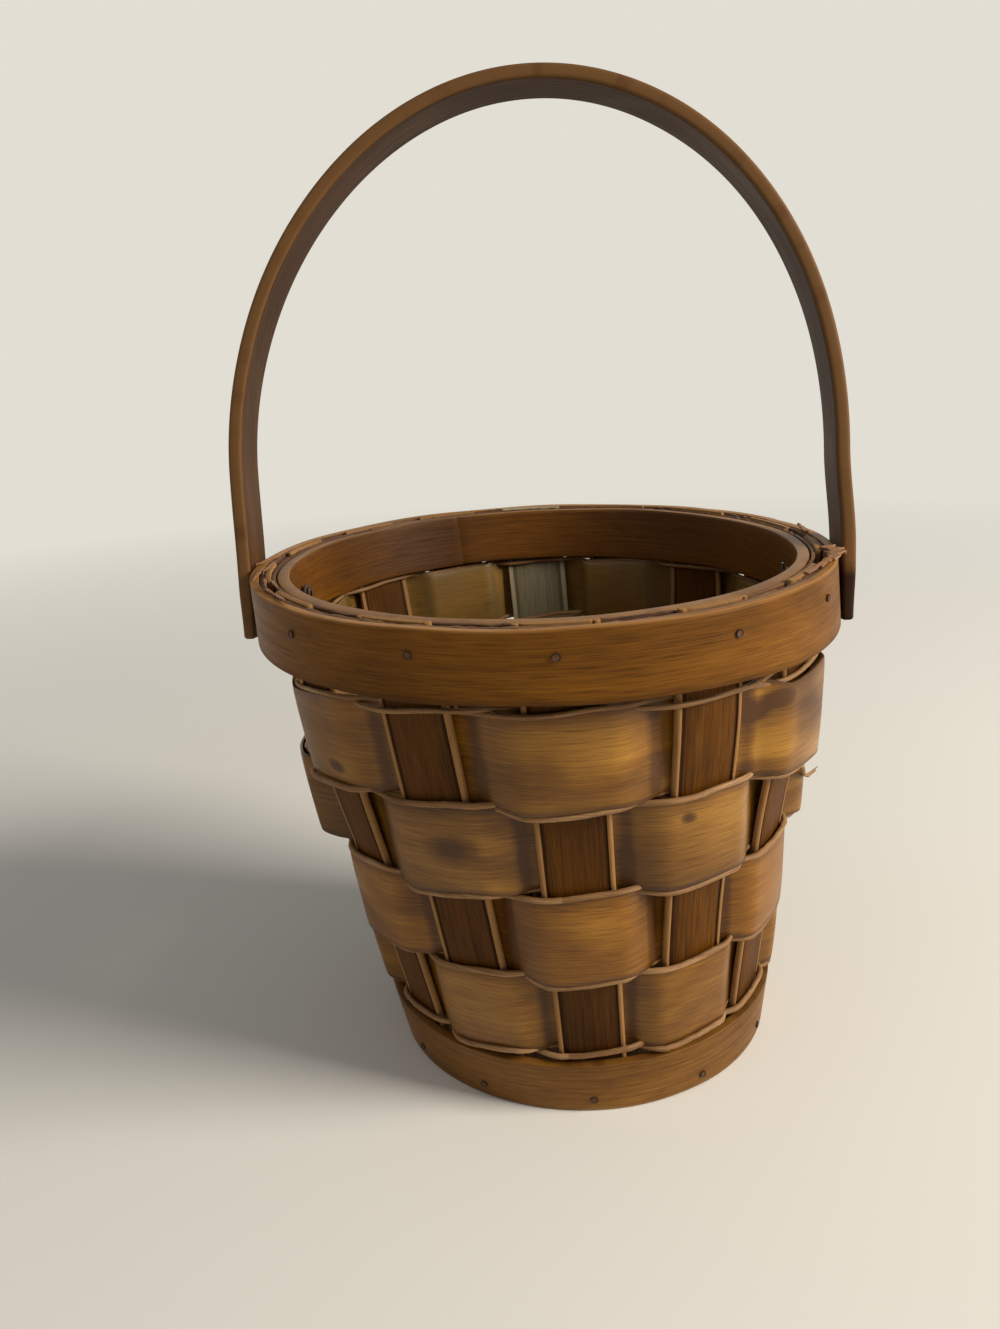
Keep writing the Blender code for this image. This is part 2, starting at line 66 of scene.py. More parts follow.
class Tone:
    """One socket of a material. Sums on it add Math nodes, and node() adds any other node."""

    def __init__(self, tree, socket=None):
        self.tree = tree
        self.socket = socket

    def node(self, kind, inputs=None, output=0, stops=(), **settings):
        made = self.tree.nodes.new("ShaderNode" + kind)
        for name, value in settings.items():
            setattr(made, name, value)
        for i, (position, shade) in enumerate(stops):
            ramp = made.color_ramp.elements
            stop = ramp[i] if i < len(ramp) else ramp.new(1.0)
            stop.position, stop.color = position, shade
        for key, value in (inputs or {}).items():
            if isinstance(value, Tone):
                self.tree.links.new(value.socket, made.inputs[key])
            else:
                made.inputs[key].default_value = value
        return Tone(self.tree, made.outputs[output])

    def math(self, operation, first, second=0.0, clamp=False):
        return self.node("Math", {0: first, 1: second}, operation=operation, use_clamp=clamp)

    def spot(self):
        return self.node("TexCoord", output="Object")

    def split(self):
        made = self.node("SeparateXYZ", {0: self})
        return [Tone(self.tree, socket) for socket in made.socket.node.outputs]

    def __add__(self, other):
        return self.math("ADD", self, other)

    __radd__ = __add__

    def __sub__(self, other):
        return self.math("SUBTRACT", self, other)

    def __rsub__(self, other):
        return self.math("SUBTRACT", other, self)

    def __mul__(self, other):
        return self.math("MULTIPLY", self, other)

    __rmul__ = __mul__

    def clamped(self):
        return self.math("ADD", self, 0.0, clamp=True)

    def above(self, edge, softness):
        """0 below an edge and 1 past it, with a soft step between."""
        return self.math("MULTIPLY", self - edge, 1 / softness, clamp=True)

    def mixed(self, first, second):
        """A colour between two, with this tone as the share of the second."""
        return self.node("Mix", {0: self, 6: first, 7: second}, 2, data_type="RGBA")


def colour(red, green, blue):
    """A colour as seen on a screen, 0 to 255, in the linear light that a shader works in."""
    return (*(
        c / 12.92 if c <= 0.04045 else ((c + 0.055) / 1.055) ** 2.4
        for c in (red / 255, green / 255, blue / 255)), 1.0)


def new_finish(name):
    material = bpy.data.materials.new(name)
    material.use_nodes = True
    return material, Tone(material.node_tree)


def set_finish(material, tones, bump=None, bump_height=0.0, **constants):
    """Plug the tones that vary into the shader, and set its constants on its own sockets."""
    shader = material.node_tree.nodes["Principled BSDF"]
    for name, value in constants.items():
        shader.inputs[name.replace("_", " ")].default_value = value
    for name, tone in tones.items():
        material.node_tree.links.new(tone.socket, shader.inputs[name])
    if bump is not None:
        normal = bump.node("Bump", {"Height": bump, "Distance": bump_height, "Strength": 1.0})
        material.node_tree.links.new(normal.socket, shader.inputs["Normal"])


def stained_wood(finish, along, across, shades, dirt=None, wear=None, worn=None, knots_and_highlights=(),
                 streaks=1.0, clouds=1.0, roughness=0.5, gloss=0.2, varnish=0.0, inside=None):
    """Stained wood: fibres and streaks run along, dirt and painted shade darken it and wear
    bares it. Knots and painted highlights mark spots, and an inner face can take painted cool
    light.
    The shades are a dark, a middle and a pale colour, 0 to 255."""
    material, start = finish

    def grain(waves, level, **inputs):
        spot = start.node("CombineXYZ", {0: along * waves[0], 1: across * waves[1], 2: level})
        return start.node("TexNoise", {"Vector": spot, "Scale": 1.0, **inputs})

    fibre = grain(FIBRE_WAVES, 0.0, Detail=3.0)
    streak = grain(STREAK_WAVES, 3.0, Detail=5.0, Roughness=0.6)
    cloud = grain(CLOUD_WAVES, 7.0, Detail=3.0, Distortion=0.5)
    share = (fibre - 0.5) * FIBRE_SHARE + (streak - 0.5) * (STREAK_SHARE * streaks)
    share = share + (cloud - 0.5) * clouds + 0.5
    if dirt is not None:
        share = share - dirt * DIRT_AND_SHADE_SHARE
    # A positive depth darkens a knot or stain; a negative one paints a pale spot, some of them
    # painted highlights.
    for knot_along, knot_across, size, depth in knots_and_highlights:
        spot = start.node("CombineXYZ", {
            0: along * KNOT_STRETCH, 1: across + (cloud - 0.5) * size * KNOT_RAGGED})
        middle = (knot_along * KNOT_STRETCH, knot_across, 0.0)
        away = start.node("VectorMath", {0: spot, 1: middle}, "Value", operation="DISTANCE")
        share = share - (1.0 - away * (1 / size)).clamped() * depth
    share = share.clamped()
    tint = start.node("ValToRGB", {"Fac": share}, stops=zip(
        SHADE_STOPS, (colour(*shade) for shade in shades)))
    if wear is not None:
        bare = (wear * (streak + 0.5)).above(0.4, 0.4)
        tint = bare.mixed(tint, colour(*worn))
    # Painted light: an inner face is mixed toward a cooler colour, standing for the light that
    # falls inside.
    if inside is not None:
        x, y, _ = start.spot().split()
        across_x, across_y, _ = start.node("NewGeometry", output="Normal").split()
        inward = (0.0 - x * across_x - y * across_y).above(0.02, 0.03)
        tint = (inward * INSIDE_SHARE).mixed(tint, colour(*inside))
    pores = fibre.above(0.34, 0.14)
    shadow = start.node("CombineColor", {
        i: pores * depth + (1 - depth) for i, depth in enumerate(PORE_DEPTHS)})
    tint = start.node(
        "Mix", {0: 1.0, 6: tint, 7: shadow}, 2, data_type="RGBA", blend_type="MULTIPLY")
    matt = ((0.5 - share) * 0.3 + (fibre - 0.5) * 0.25 + roughness).clamped()
    set_finish(
        material, {"Base Color": tint, "Roughness": matt}, fibre * 0.4 + streak * 0.6, RELIEF,
        Specular_IOR_Level=gloss, Coat_Weight=varnish, Coat_Roughness=0.3)
    return material


def select_only(*pieces):
    """Operators act on all that is selected, so the rest is deselected first."""
    bpy.ops.object.select_all(action="DESELECT")
    for piece in pieces:
        piece.select_set(True)
        bpy.context.view_layer.objects.active = pieces[0]


def add_modifier(piece, kind, **settings):
    modifier = piece.modifiers.new(kind.lower(), kind)
    for name, value in settings.items():
        setattr(modifier, name, value)


def apply_modifiers(piece):
    select_only(piece)
    for modifier in list(piece.modifiers):
        bpy.ops.object.modifier_apply(modifier=modifier.name)
    bpy.ops.object.shade_smooth_by_angle(angle=radians(40))


def turned_disc(name, radius, depth, middle, sides, edge, segments, turn=0.0):
    """A round piece with rounded edges, its axis upright or turned about Y."""
    select_only()
    bpy.ops.mesh.primitive_cylinder_add(
        vertices=sides, radius=radius, depth=depth, location=middle, rotation=(0.0, turn, 0.0))
    piece = bpy.context.object
    piece.name = name
    bpy.ops.object.transform_apply(location=True, rotation=True)
    add_modifier(piece, "BEVEL", width=edge, segments=segments, limit_method="ANGLE")
    apply_modifiers(piece)
    return piece


def hand_in(piece, material, slot, *nodes, body="basket"):
    """Finish, slot (not used), the nodes that the piece stands for and its body."""
    piece.data.materials.clear()
    piece.data.materials.append(material)
    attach(piece, body)
    if nodes:
        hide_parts(*nodes)


board_finish = new_finish("board_wood")
board_x, board_y, _ = board_finish[1].spot().split()
stained_wood(board_finish, board_y, board_x * BOARD_GRAIN,
             ((70, 45, 22), (110, 76, 42), (150, 112, 70)), streaks=1.2)

board_middle = (BOARD_LOW + BOARD_HIGH) / 2
board = turned_disc(
    "base_board", (BOARD_HIGH.y - BOARD_LOW.y) / 2 - BOARD_PLAY, BOARD_HIGH.z - BOARD_LOW.z,
    (FOOT_SET * (1 - board_middle.z / PIVOT_HEIGHT), 0.0, board_middle.z),
    sides=BOARD_SIDES, edge=BOARD_EDGE, segments=3)
hand_in(board, board_finish[0], "disc", "base_disc")

# Stakes
# Fourteen thick splints, split along the grain, with a rounded bead down both edges, where the
# stain has rubbed thin. They are set round the board, wider apart at the front.
STAKE_COUNT = 14
FIRST_STAKE = -3
RIM_LOW, RIM_TOP = (corner.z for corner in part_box("rim_outer_hoop"))
BASE_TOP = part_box("base_hoop")[1].z
WALL_FOOT = 0.0645  # middle of the stakes, on the floor
WALL_TOP = 0.0940  # and at the top of the rim
SIDE_BELLY = 0.0035
LEFT_BELLY = 2.0  # the left side swells most two thirds of the way up
RIGHT_BELLY = 4.3  # and the right side just below the rim
FRONT_STAKE = 4.0  # azimuth of the front stake, in degrees toward the right
FRONT_SPREAD = 7.5
STAKE_THICK = 0.0020
STAKE_TOP_WIDTH = 0.0245
STAKE_FOOT_WIDTH = 0.0220
BEAD = 0.0020  # width of the rounded bead down each edge
GROOVE = 0.0006  # width of the groove beside it
BEAD_SLOPE = 0.45  # share of the thickness rounded off at the very edge
BEAD_CREST, BEAD_ROUND = 1.7, 2.5  # where the bead's crest lies, and how full it is
STAKE_FACE = 0.86  # share of the thickness left on the face between the beads
GROOVE_FLOOR = 0.66  # and in the grooves
STAKE_PROUD = 0.0007  # how far the tops stand above the hoops
STAKE_WAVE = 0.0003
STAKE_DIRT = 0.3
STAKE_WORN = 0.0020  # length of the worn tops
STAKE_FOOT = 0.0005  # the ends stand a little clear of the floor
STAKE_STEPS = 76


def rightward(azimuth):
    """1 at the right side, 0 at the front and back, -1 at the left."""
    return sin(radians(azimuth))


def backward(azimuth):
    """1 at the back, 0 at the sides, -1 at the front."""
    return -cos(radians(azimuth))


def place(azimuth, radius, z):
    """A point round the body's leaning axis. Azimuth 0 is the front and 90 the right."""
    lean = FOOT_SET * (1 - z / PIVOT_HEIGHT)
    return Vector((lean + radius * rightward(azimuth), radius * backward(azimuth), z))


def clamp(share, low=0.0):
    return min(max(share, low), 1.0)


def weave_share(z):
    """0 at the base hoop and 1 at the rim hoops."""
    return clamp((z - BASE_TOP) / (RIM_LOW - BASE_TOP))


def bulge(azimuth, z):
    """0 at the hoops, 1 where the weave swells most, high on the two sides."""
    height = RIGHT_BELLY if rightward(azimuth) > 0 else LEFT_BELLY
    return sin(pi * weave_share(z) ** height) * rightward(azimuth) ** 2


def straight_wall(z):
    return WALL_FOOT + (WALL_TOP - WALL_FOOT) * z / RIM_TOP


def wall(azimuth, z):
    """Radius of the middle of the stakes."""
    return straight_wall(z) + SIDE_BELLY * bulge(azimuth, z)


def stake_azimuth(number):
    even = number * 360.0 / STAKE_COUNT
    return FRONT_STAKE + even + FRONT_SPREAD * rightward(even)


def stake_width(z):
    return STAKE_FOOT_WIDTH + (STAKE_TOP_WIDTH - STAKE_FOOT_WIDTH) * z / RIM_TOP


def stake_half_angle(z):
    return degrees(stake_width(z) / 2 / wall(0.0, z))


def near(distance, width):
    """1 at an edge, falling to 0 at this width away from it."""
    return max(0.0, 1.0 - distance / width)


def ripple(a, b, seed):
    """A gentle unevenness from -1 to 1, the same each run."""
    return noise.noise(Vector((a, b, seed * 3.7)))


def bend_splint(name, length, steps, rows, form, thick, share=None, dirt=None, wear=None,
                edge=0.0003, segments=2, level_grain=False):
    """Cut a flat splint, its lengthwise lines at the distances in rows from one edge, bend its
    inner face to form(along, across) and give it a share of its thickness. Dirt and painted
    shade, and wear, are such functions too, or numbers. Level grain stays at its height."""
    select_only()
    bpy.ops.mesh.primitive_grid_add(x_subdivisions=steps, y_subdivisions=len(rows) - 1, size=1)
    splint = bpy.context.object
    splint.name = name
    mesh = splint.data
    spots = [((v.co.x + 0.5) * length, rows[round((v.co.y + 0.5) * (len(rows) - 1))])
             for v in mesh.vertices]
    bent = [form(*spot) for spot in spots]
    uv = mesh.uv_layers.active.data
    for loop in mesh.loops:
        along, across = spots[loop.vertex_index]
        uv[loop.index].uv = (along, bent[loop.vertex_index].z if level_grain else across)
    group = splint.vertex_groups.new(name="thickness")
    for layer, paint in (("dirt", dirt), ("wear", wear)):
        if paint is not None:
            attribute = mesh.attributes.new(layer, "FLOAT", "POINT")
            attribute.data.foreach_set("value", [
                paint(*spot) if callable(paint) else paint for spot in spots])
    for vertex, spot, point in zip(mesh.vertices, spots, bent):
        group.add([vertex.index], share(*spot) if share else 1.0, "REPLACE")
        vertex.co = point
    add_modifier(
        splint, "SOLIDIFY", thickness=thick, offset=1.0, use_even_offset=False,
        vertex_group=group.name, thickness_vertex_group=0.0)
    add_modifier(
        splint, "BEVEL", width=edge, segments=segments, limit_method="ANGLE",
        angle_limit=radians(50))
    apply_modifiers(splint)
    return splint


def splint_finish(name, shades, shift=0.0, knots_and_highlights=(), **looks):
    """Stained wood whose grain follows the splint's own length."""
    finish = new_finish(name)
    along, across, _ = finish[1].node("UVMap").split()
    dirt, wear = [finish[1].node("Attribute", attribute_name=layer, output="Fac")
                  for layer in ("dirt", "wear")]
    moved = [(u + shift, v + shift, size, depth) for u, v, size, depth in knots_and_highlights]
    return stained_wood(
        finish, along + shift, across + shift, shades, dirt, wear, knots_and_highlights=moved, **looks)


stake_finishes = [
    splint_finish(f"stake_wood_{i}", ((53, 29, 4), (89, 52, 7), (120, 75, 17)),
                  worn=(148, 108, 64), shift=i * 0.37, gloss=0.1, clouds=0.7, streaks=0.9)
    for i in range(3)]
# A greyer copy of the stake wood: painted cool light for one stake at the back.
cool_lit_stake_finish = splint_finish(
    "stake_wood_cool_lit", ((92, 82, 60), (130, 120, 94), (160, 150, 122)),
    worn=(160, 146, 116), shift=2.2, gloss=0.1, clouds=0.7, streaks=0.5)
COOL_LIT_STAKE = 10  # a stake at the back is painted greyer, as painted cool light on the back wall inside
bead_rows = [0.0, 0.00025, 0.0006, 0.0010, 0.0014, 0.00175, BEAD, BEAD + GROOVE / 2,
             BEAD + GROOVE, 0.0034, 0.0060, 0.0090]
stake_rows = bead_rows + [STAKE_TOP_WIDTH / 2] + [STAKE_TOP_WIDTH - r for r in bead_rows[::-1]]


def from_stake_edge(across):
    return min(across, STAKE_TOP_WIDTH - across)


def stake_share(along, across):
    """A rounded bead at the edge, a groove beside it and then the flat face."""
    distance = from_stake_edge(across)
    if distance < BEAD:
        return 1.0 - BEAD_SLOPE * abs(1.0 - distance / BEAD * BEAD_CREST) ** BEAD_ROUND
    if distance < BEAD + GROOVE:
        return GROOVE_FLOOR
    return STAKE_FACE


def stake_wear(along, across):
    top = near(RIM_TOP - along, STAKE_WORN)
    return max(1.0 if from_stake_edge(across) < BEAD * 0.95 else 0.0, top)


for i in range(STAKE_COUNT):
    middle = stake_azimuth(FIRST_STAKE + i)

    def stake_form(along, across):
        reach = (across / STAKE_TOP_WIDTH - 0.5) * stake_width(along)
        azimuth = middle - degrees(reach / wall(middle, along))
        inner = wall(azimuth, along) - STAKE_THICK / 2
        free = sin(pi * weave_share(along))
        wave = STAKE_WAVE * free * ripple(along * 40, across * 30, i)
        return place(azimuth, inner + wave, max(along, STAKE_FOOT))

    def stake_dirt(along, across):
        # Painted shade fills the grooves beside the beads; uneven dirt lies over the whole
        # stake.
        groove = 1.0 if BEAD * 0.95 < from_stake_edge(across) < BEAD + GROOVE * 1.1 else 0.0
        return groove + STAKE_DIRT * (1.0 + ripple(along * 18, across * 60, i + 20))

    stake = bend_splint(
        f"splint_stake_{i + 1:02d}", RIM_TOP + STAKE_PROUD, STAKE_STEPS, stake_rows, stake_form,
        STAKE_THICK, stake_share, stake_dirt, stake_wear, edge=0.00015)
    finish = cool_lit_stake_finish if i == COOL_LIT_STAKE else stake_finishes[i % len(stake_finishes)]
    hand_in(stake, finish, "stakes", f"stake_{i + 1:02d}")

# Base hoop
# One strip of wood bent round the feet of the stakes, its two ends thinned and lapped at the
# back left. Its grain shows as level streaks, and its lower edge is scuffed pale by the floor.
BAND = RIM_TOP - RIM_LOW
HOOP_FIT = 0.0005  # play between the layers
BASE_LOW = 0.0008
BASE_THICK = 0.0030
BASE_SCUFF = 0.0040  # height of the pale scuffed stretch
BASE_LAP = 240.0
LAP_DEGREES = 25.0
LAP_TIP = 0.2  # share of the thickness left at a thinned end
HOOP_STEPS = 220
HOOP_ROWS = 8


def even_rows(width, count):
    return [width * i / count for i in range(count + 1)]


def hoop_turn(along):
    return along / (tau * WALL_TOP) * (360.0 + LAP_DEGREES)


def hoop_share(along, across):
    """Both ends are thinned over the length of the lap."""
    turn = hoop_turn(along)
    from_end = min(turn, 360.0 + LAP_DEGREES - turn)
    return LAP_TIP + (1.0 - LAP_TIP) * min(from_end / LAP_DEGREES, 1.0)


def bend_hoop(name, inner, low, high, lap, thick, wave=0.0, hang=None, **finish):
    """A strip bent once round and a lap further, its far end over its near end."""
    def form(along, across):
        turn = hoop_turn(along)
        height = across / BAND
        over = max(turn - 360.0, 0.0) / LAP_DEGREES
        lift = thick * (LAP_TIP + (1.0 - LAP_TIP) * over) if turn > 360.0 else 0.0
        level = low + across * (high - low) / BAND
        level += wave * ripple(turn * 0.05, 0.0, lap) * (height - 0.5)
        if hang is not None:
            level -= hang(lap + turn) * (1.0 - height)
        return place(lap + turn, inner(level) + lift, level)

    return bend_splint(
        name, tau * WALL_TOP, HOOP_STEPS, even_rows(BAND, HOOP_ROWS), form, thick, hoop_share,
        **finish)


base_finish = splint_finish(
    "base_hoop_wood", ((84, 52, 14), (122, 80, 26), (154, 108, 46)), worn=(170, 132, 84),
    shift=1.3, clouds=0.8, roughness=0.45)
base_hoop = bend_hoop(
    "foot_hoop", lambda z: straight_wall(z) + STAKE_THICK / 2 + HOOP_FIT, BASE_LOW, BASE_TOP,
    BASE_LAP, BASE_THICK, wave=0.0006, edge=0.0007, segments=3,
    dirt=lambda _, across: 0.15 + 0.225 * near(BAND - across, BAND * 0.45),
    wear=lambda _, across: 0.5 * near(across, BASE_SCUFF))
hand_in(base_hoop, base_finish, "hoops", "base_hoop")

# Twined strands
# Five pairs of thin strands, twisted about each other round every stake: under the rim,
# between the rows and on top of the base hoop. Each was split by hand, so it swells and thins.
ROWS = 4
TOP_TWINE_DROP = 0.0053
TOP_TWINE_SAG = 0.0045
LOW_TWINE_RISE = 0.0029
RIGHT_SAG = 0.0045  # how far the second pair has slipped down at the right
RIGHT_SAG_MIDDLE = 76.0
PATCH_SPREAD = 17.0  # degrees over which one patch pushes its strands
BACK_TWINE_DROP = 0.0004  # from the lower edge of the hoop to the first pair at the back
BACK_CLIMB = 0.5  # cosine of the angle from the back at which the first pair has climbed there
PRESSED_FLAT = 0.5  # share of its twist that the hoops press out of it there
BACK_LIFTS = (0.0, 0.0134, 0.0083, 0.0039, 0.0)  # how much higher the other pairs lie there
STRAND = 0.0020
TOP_STRAND = 0.0017  # the pair below the rim is thinner
STRAND_UNEVEN = 0.16  # share by which a strand swells and thins
STRAND_RISE = 0.0009
STRAND_DIP = 0.0006  # how far a strand is pushed down below a bowed patch
FRONT_DIP = 0.0009  # and the second and fourth pairs besides, below the front patches
STRAND_SHOVE = 0.0017  # how far a strand is pushed out below a bowed patch
LEFT_SLACK = 0.0020  # and how much farther the patches and strands stand out at the left
RIGHT_SLACKS = (0.0033, -0.0016, 0.0005, 0.0)  # and at the right, by row
STRAND_PLAY = 0.0003  # kept clear of the stakes
STRAND_DRIFT, STRAND_WOBBLE = 0.0003, 0.0002  # how uneven it lies in height and in depth
CROSSING_START = 0.9  # share of half a stake's width at which a strand starts to cross
STRAND_STEPS = 40  # from one stake to the next
GRAIN_RADIUS = 0.085


def ease(share):
    share = clamp(share)
    return share * share * (3 - 2 * share)


def hump(middle, spread, azimuth):
    """1 at the middle, fading to 0 on both sides."""
    turn = (azimuth - middle + 180.0) % 360.0 - 180.0
    return exp(-(turn / spread) ** 2)


def twine_level(row, azimuth):
    """The pairs are even in front, sag at the sides and climb at the back to meet the hoops."""
    high = RIM_LOW - TOP_TWINE_DROP - TOP_TWINE_SAG * rightward(azimuth) ** 2
    low = BASE_TOP + LOW_TWINE_RISE
    level = high + (low - high) * row / ROWS
    if row == 1:
        level -= RIGHT_SAG * hump(RIGHT_SAG_MIDDLE, PATCH_SPREAD, azimuth)
    behind = max(backward(azimuth), 0.0)
    if row == 0:
        return level + (RIM_LOW - BACK_TWINE_DROP - level) * ease(behind / BACK_CLIMB)
    return level + BACK_LIFTS[int(row)] * behind ** 2


def twist_rise(row, azimuth):
    """How far a strand rises and falls. The hoops press the first pair flat at the back."""
    pressed = PRESSED_FLAT * ease(backward(azimuth) / BACK_CLIMB) if row == 0 else 0.0
    return STRAND_RISE * (1.0 - pressed)


def patch_dip(row, azimuth):
    """How far a bowed patch presses down the pair below it."""
    if not 0 < row < ROWS:
        return 0.0
    front = hump(FRONT_STAKE, PATCH_SPREAD, azimuth)
    return STRAND_DIP + (FRONT_DIP * front if row % 2 else 0.0)


def slack(row, azimuth, z):
    outward = RIGHT_SLACKS[row] if rightward(azimuth) > 0 else LEFT_SLACK
    return outward * bulge(azimuth, z)


def strand_points(row, lead):
    """The strand passes in front of every other stake and behind those between."""
    points = []
    seed = row * 2 + lead
    first = STAKE_COUNT // 2 + lead + 1 + 2 * (row % 2)
    reach = (STAKE_THICK + STRAND) / 2 + STRAND_PLAY
    for number in range(first, first + STAKE_COUNT):
        side = 1 if (number + lead) % 2 == 0 else -1
        here, far = stake_azimuth(number), stake_azimuth(number + 1)
        half = stake_half_angle(twine_level(row, here))
        start = half * CROSSING_START
        for step in range(STRAND_STEPS):
            azimuth = here + (far - here) * step / STRAND_STEPS
            level = twine_level(row, azimuth)
            crossing = ease((azimuth - here - start) / (far - here - 2 * start))
            swing = side * (1.0 - 2.0 * crossing)
            past = azimuth - here if azimuth < (here + far) / 2 else far - azimuth
            slant = side * sin(pi / 2 * clamp(past / half, -1.0))
            bowed = max((1 if (number + row) % 2 else -1) * (1.0 - 2.0 * crossing), 0.0)
            dip = patch_dip(row, azimuth) * bowed
            drift = STRAND_DRIFT * ripple(azimuth * 0.15, row, seed)
            rise = twist_rise(row, azimuth) * slant - dip + drift
            wobble = STRAND_WOBBLE * ripple(azimuth, 1, seed)
            radius = wall(azimuth, level) + swing * (reach + wobble)
            if row > 0 and swing > 0:
                radius += (STRAND_SHOVE + slack(row - 1, azimuth, level)) * bowed
            lean = (WALL_TOP - WALL_FOOT) / RIM_TOP * rise
            points.append(place(azimuth, radius + lean, level + rise))
    return points


def lay_strand(name, points, thick, tip=1.0):
    curve = bpy.data.curves.new(name, "CURVE")
    curve.dimensions = "3D"
    curve.bevel_depth = thick / 2
    curve.bevel_resolution = 3
    curve.use_fill_caps = True
    spline = curve.splines.new("POLY")
    spline.points.add(len(points) - 1)
    for i, (point, spot) in enumerate(zip(spline.points, points)):
        point.co = (*spot, 1.0)
        thinned = 1.0 - (1.0 - tip) * (i / (len(points) - 1)) ** 2
        point.radius = thinned * (1.0 + STRAND_UNEVEN * ripple(i * 0.06, len(name), thick * 1e4))
    strand = bpy.data.objects.new(name, curve)
    bpy.context.scene.collection.objects.link(strand)
    select_only(strand)
    bpy.ops.object.convert(target="MESH")
    strand = bpy.context.object
    bpy.ops.object.shade_smooth_by_angle(angle=radians(50))
    return strand


strand_finish, strand_start = new_finish("strand_wood")
strand_x, strand_y, strand_z = strand_start.spot().split()
strand_turn = strand_start.math("ARCTAN2", strand_x - FOOT_SET / 2, strand_y)
stained_wood((strand_finish, strand_start), strand_turn * GRAIN_RADIUS, strand_z,
             ((87, 57, 33), (139, 102, 64), (181, 143, 100)), roughness=0.55)
for row in range(ROWS + 1):
    for lead in (0, 1):
        strand = lay_strand(
            f"strand_{row + 1}_{'ab'[lead]}", strand_points(row, lead),
            STRAND if row > 0 else TOP_STRAND)
        hand_in(strand, strand_finish, "twine", f"twine_{row + 1}_strand_{'ab'[lead]}")

# Weavers
# Each row is two wide, thin splints woven in and out of the stakes and lapped at the sides.
# They bow out over the stakes, stand off at their lower edges and are tucked in at the top.
WEAVER_THICK = 0.0010
WEAVER_SLOPES = (0.09, 0.10, 0.09, 0.13)  # lean of the patches, by row
WEAVER_REST = 0.0005  # how much higher the lower edge of a bowed patch rests on the strand
WEAVER_TUCK = 0.0006  # how much farther the edges reach behind the strands at the back
CROSS_TUCK = 0.0012  # and everywhere between the strands as they cross
TOP_TUCK = 0.0025  # and the top edge of the first row there
WEAVER_BITE = 0.0004  # how deep the edges sink into the strands
WEAVER_PLAY = 0.0004  # kept clear of the stakes
WEAVER_PILLOW = 0.0007
WEAVER_WAVE = 0.00025
EDGE_WAVE = 0.0002
WEAVER_TIP = 0.6  # reach of the ends past the last stakes, in half stakes
WEAVER_LENGTH = 0.34
WEAVER_WIDTH = 0.0270
WEAVER_STEPS = 260
WEAVER_ROWS = 14
TUCK_SHADE, TUCK_LINE_SHADE = 0.25, 0.85  # painted shade where a patch slips behind a stake, and a painted shadow line there
TUCK_LINE = 0.62  # share of the way behind it at which the line lies
FOOT_SHADE, FOOT_SHADE_WIDTH = 0.9, 0.0014  # painted shade along the lower edge, where it overhangs the strand
TOP_SHADE, TOP_SHADE_WIDTH = 0.55, 0.00324  # and painted shade along the upper edge, below the strand
MOST_SHADE = 1.2


def weaver_stations(row, back):
    """Azimuth, side and layer where a half weaver passes each stake, lapped at both ends."""
    first = FIRST_STAKE + STAKE_COUNT // 2 * back
    last = first + STAKE_COUNT // 2 - 1
    stations = []
    for number in range(first - 1, last + 2):
        passed = min(max(number, first), last)
        side = 1 if (passed + row + back) % 2 == 0 else -1
        lapped = number <= first or number >= last
        layer = 1 if lapped and (side > 0) != bool(back) else 0
        stations.append((stake_azimuth(number), side, layer))
    return stations


def station_blend(stations, azimuth, half):
    """Side, from -1 to 1, layer, crown, 1 over the middle of a stake, and the slant of the
    strand on the same side, at an azimuth."""
    for (here, side, layer), (far, next_side, next_layer) in zip(stations, stations[1:]):
        if azimuth <= far or far == stations[-1][0]:
            break
    share = ease((azimuth - here - half) / (far - here - 2 * half))
    span = (far - here) / 2
    crown = cos(pi / 2 * min(abs(azimuth - here), abs(azimuth - far), span) / span)
    if azimuth < (here + far) / 2:
        slant = side * sin(pi / 2 * min((azimuth - here) / half, 1.0))
    else:
        slant = next_side * sin(pi / 2 * max((azimuth - far) / half, -1.0))
    return (side + (next_side - side) * share, layer + (next_layer - layer) * share, crown,
            slant)


INSIDE_COOL_LIGHT = (122, 98, 50)  # painted cool light: a greyer olive on the inner faces, for the cool light that falls inside
weaver_shades = [
    ((80, 48, 13), (122, 79, 20), (162, 114, 38)),
    ((82, 48, 11), (129, 82, 19), (170, 118, 38)),
    ((76, 47, 15), (116, 76, 23), (156, 110, 42)),
]
# azimuth, height, size and depth of knots, stains and painted highlights, by row and by front or
# back; a negative depth paints a pale spot
KNOTS_AND_HIGHLIGHTS = {
    (0, 0): ((46.5, 0.1440, 0.0050, -0.8), (50.5, 0.1415, 0.0036, 1.0),
             (46.0, 0.1385, 0.0030, 0.9), (48.0, 0.1300, 0.0080, -0.5),
             (63.0, 0.1330, 0.0090, 0.3),
             # The wide pale spot at 15 degrees is a painted highlight.
             (-48.0, 0.1250, 0.0028, 1.1), (15.0, 0.1370, 0.0140, -0.35)),
    (1, 0): ((28.0, 0.1120, 0.0020, 1.2), (-22.0, 0.1040, 0.0060, 0.6),
             # The pale spot at -14 degrees is a painted highlight beside the stain.
             (-14.0, 0.1060, 0.0080, -0.4)),
    (2, 0): ((6.0, 0.0750, 0.0100, -0.35),),
    (2, 1): ((190.0, 0.0750, 0.0030, 1.1),),
}

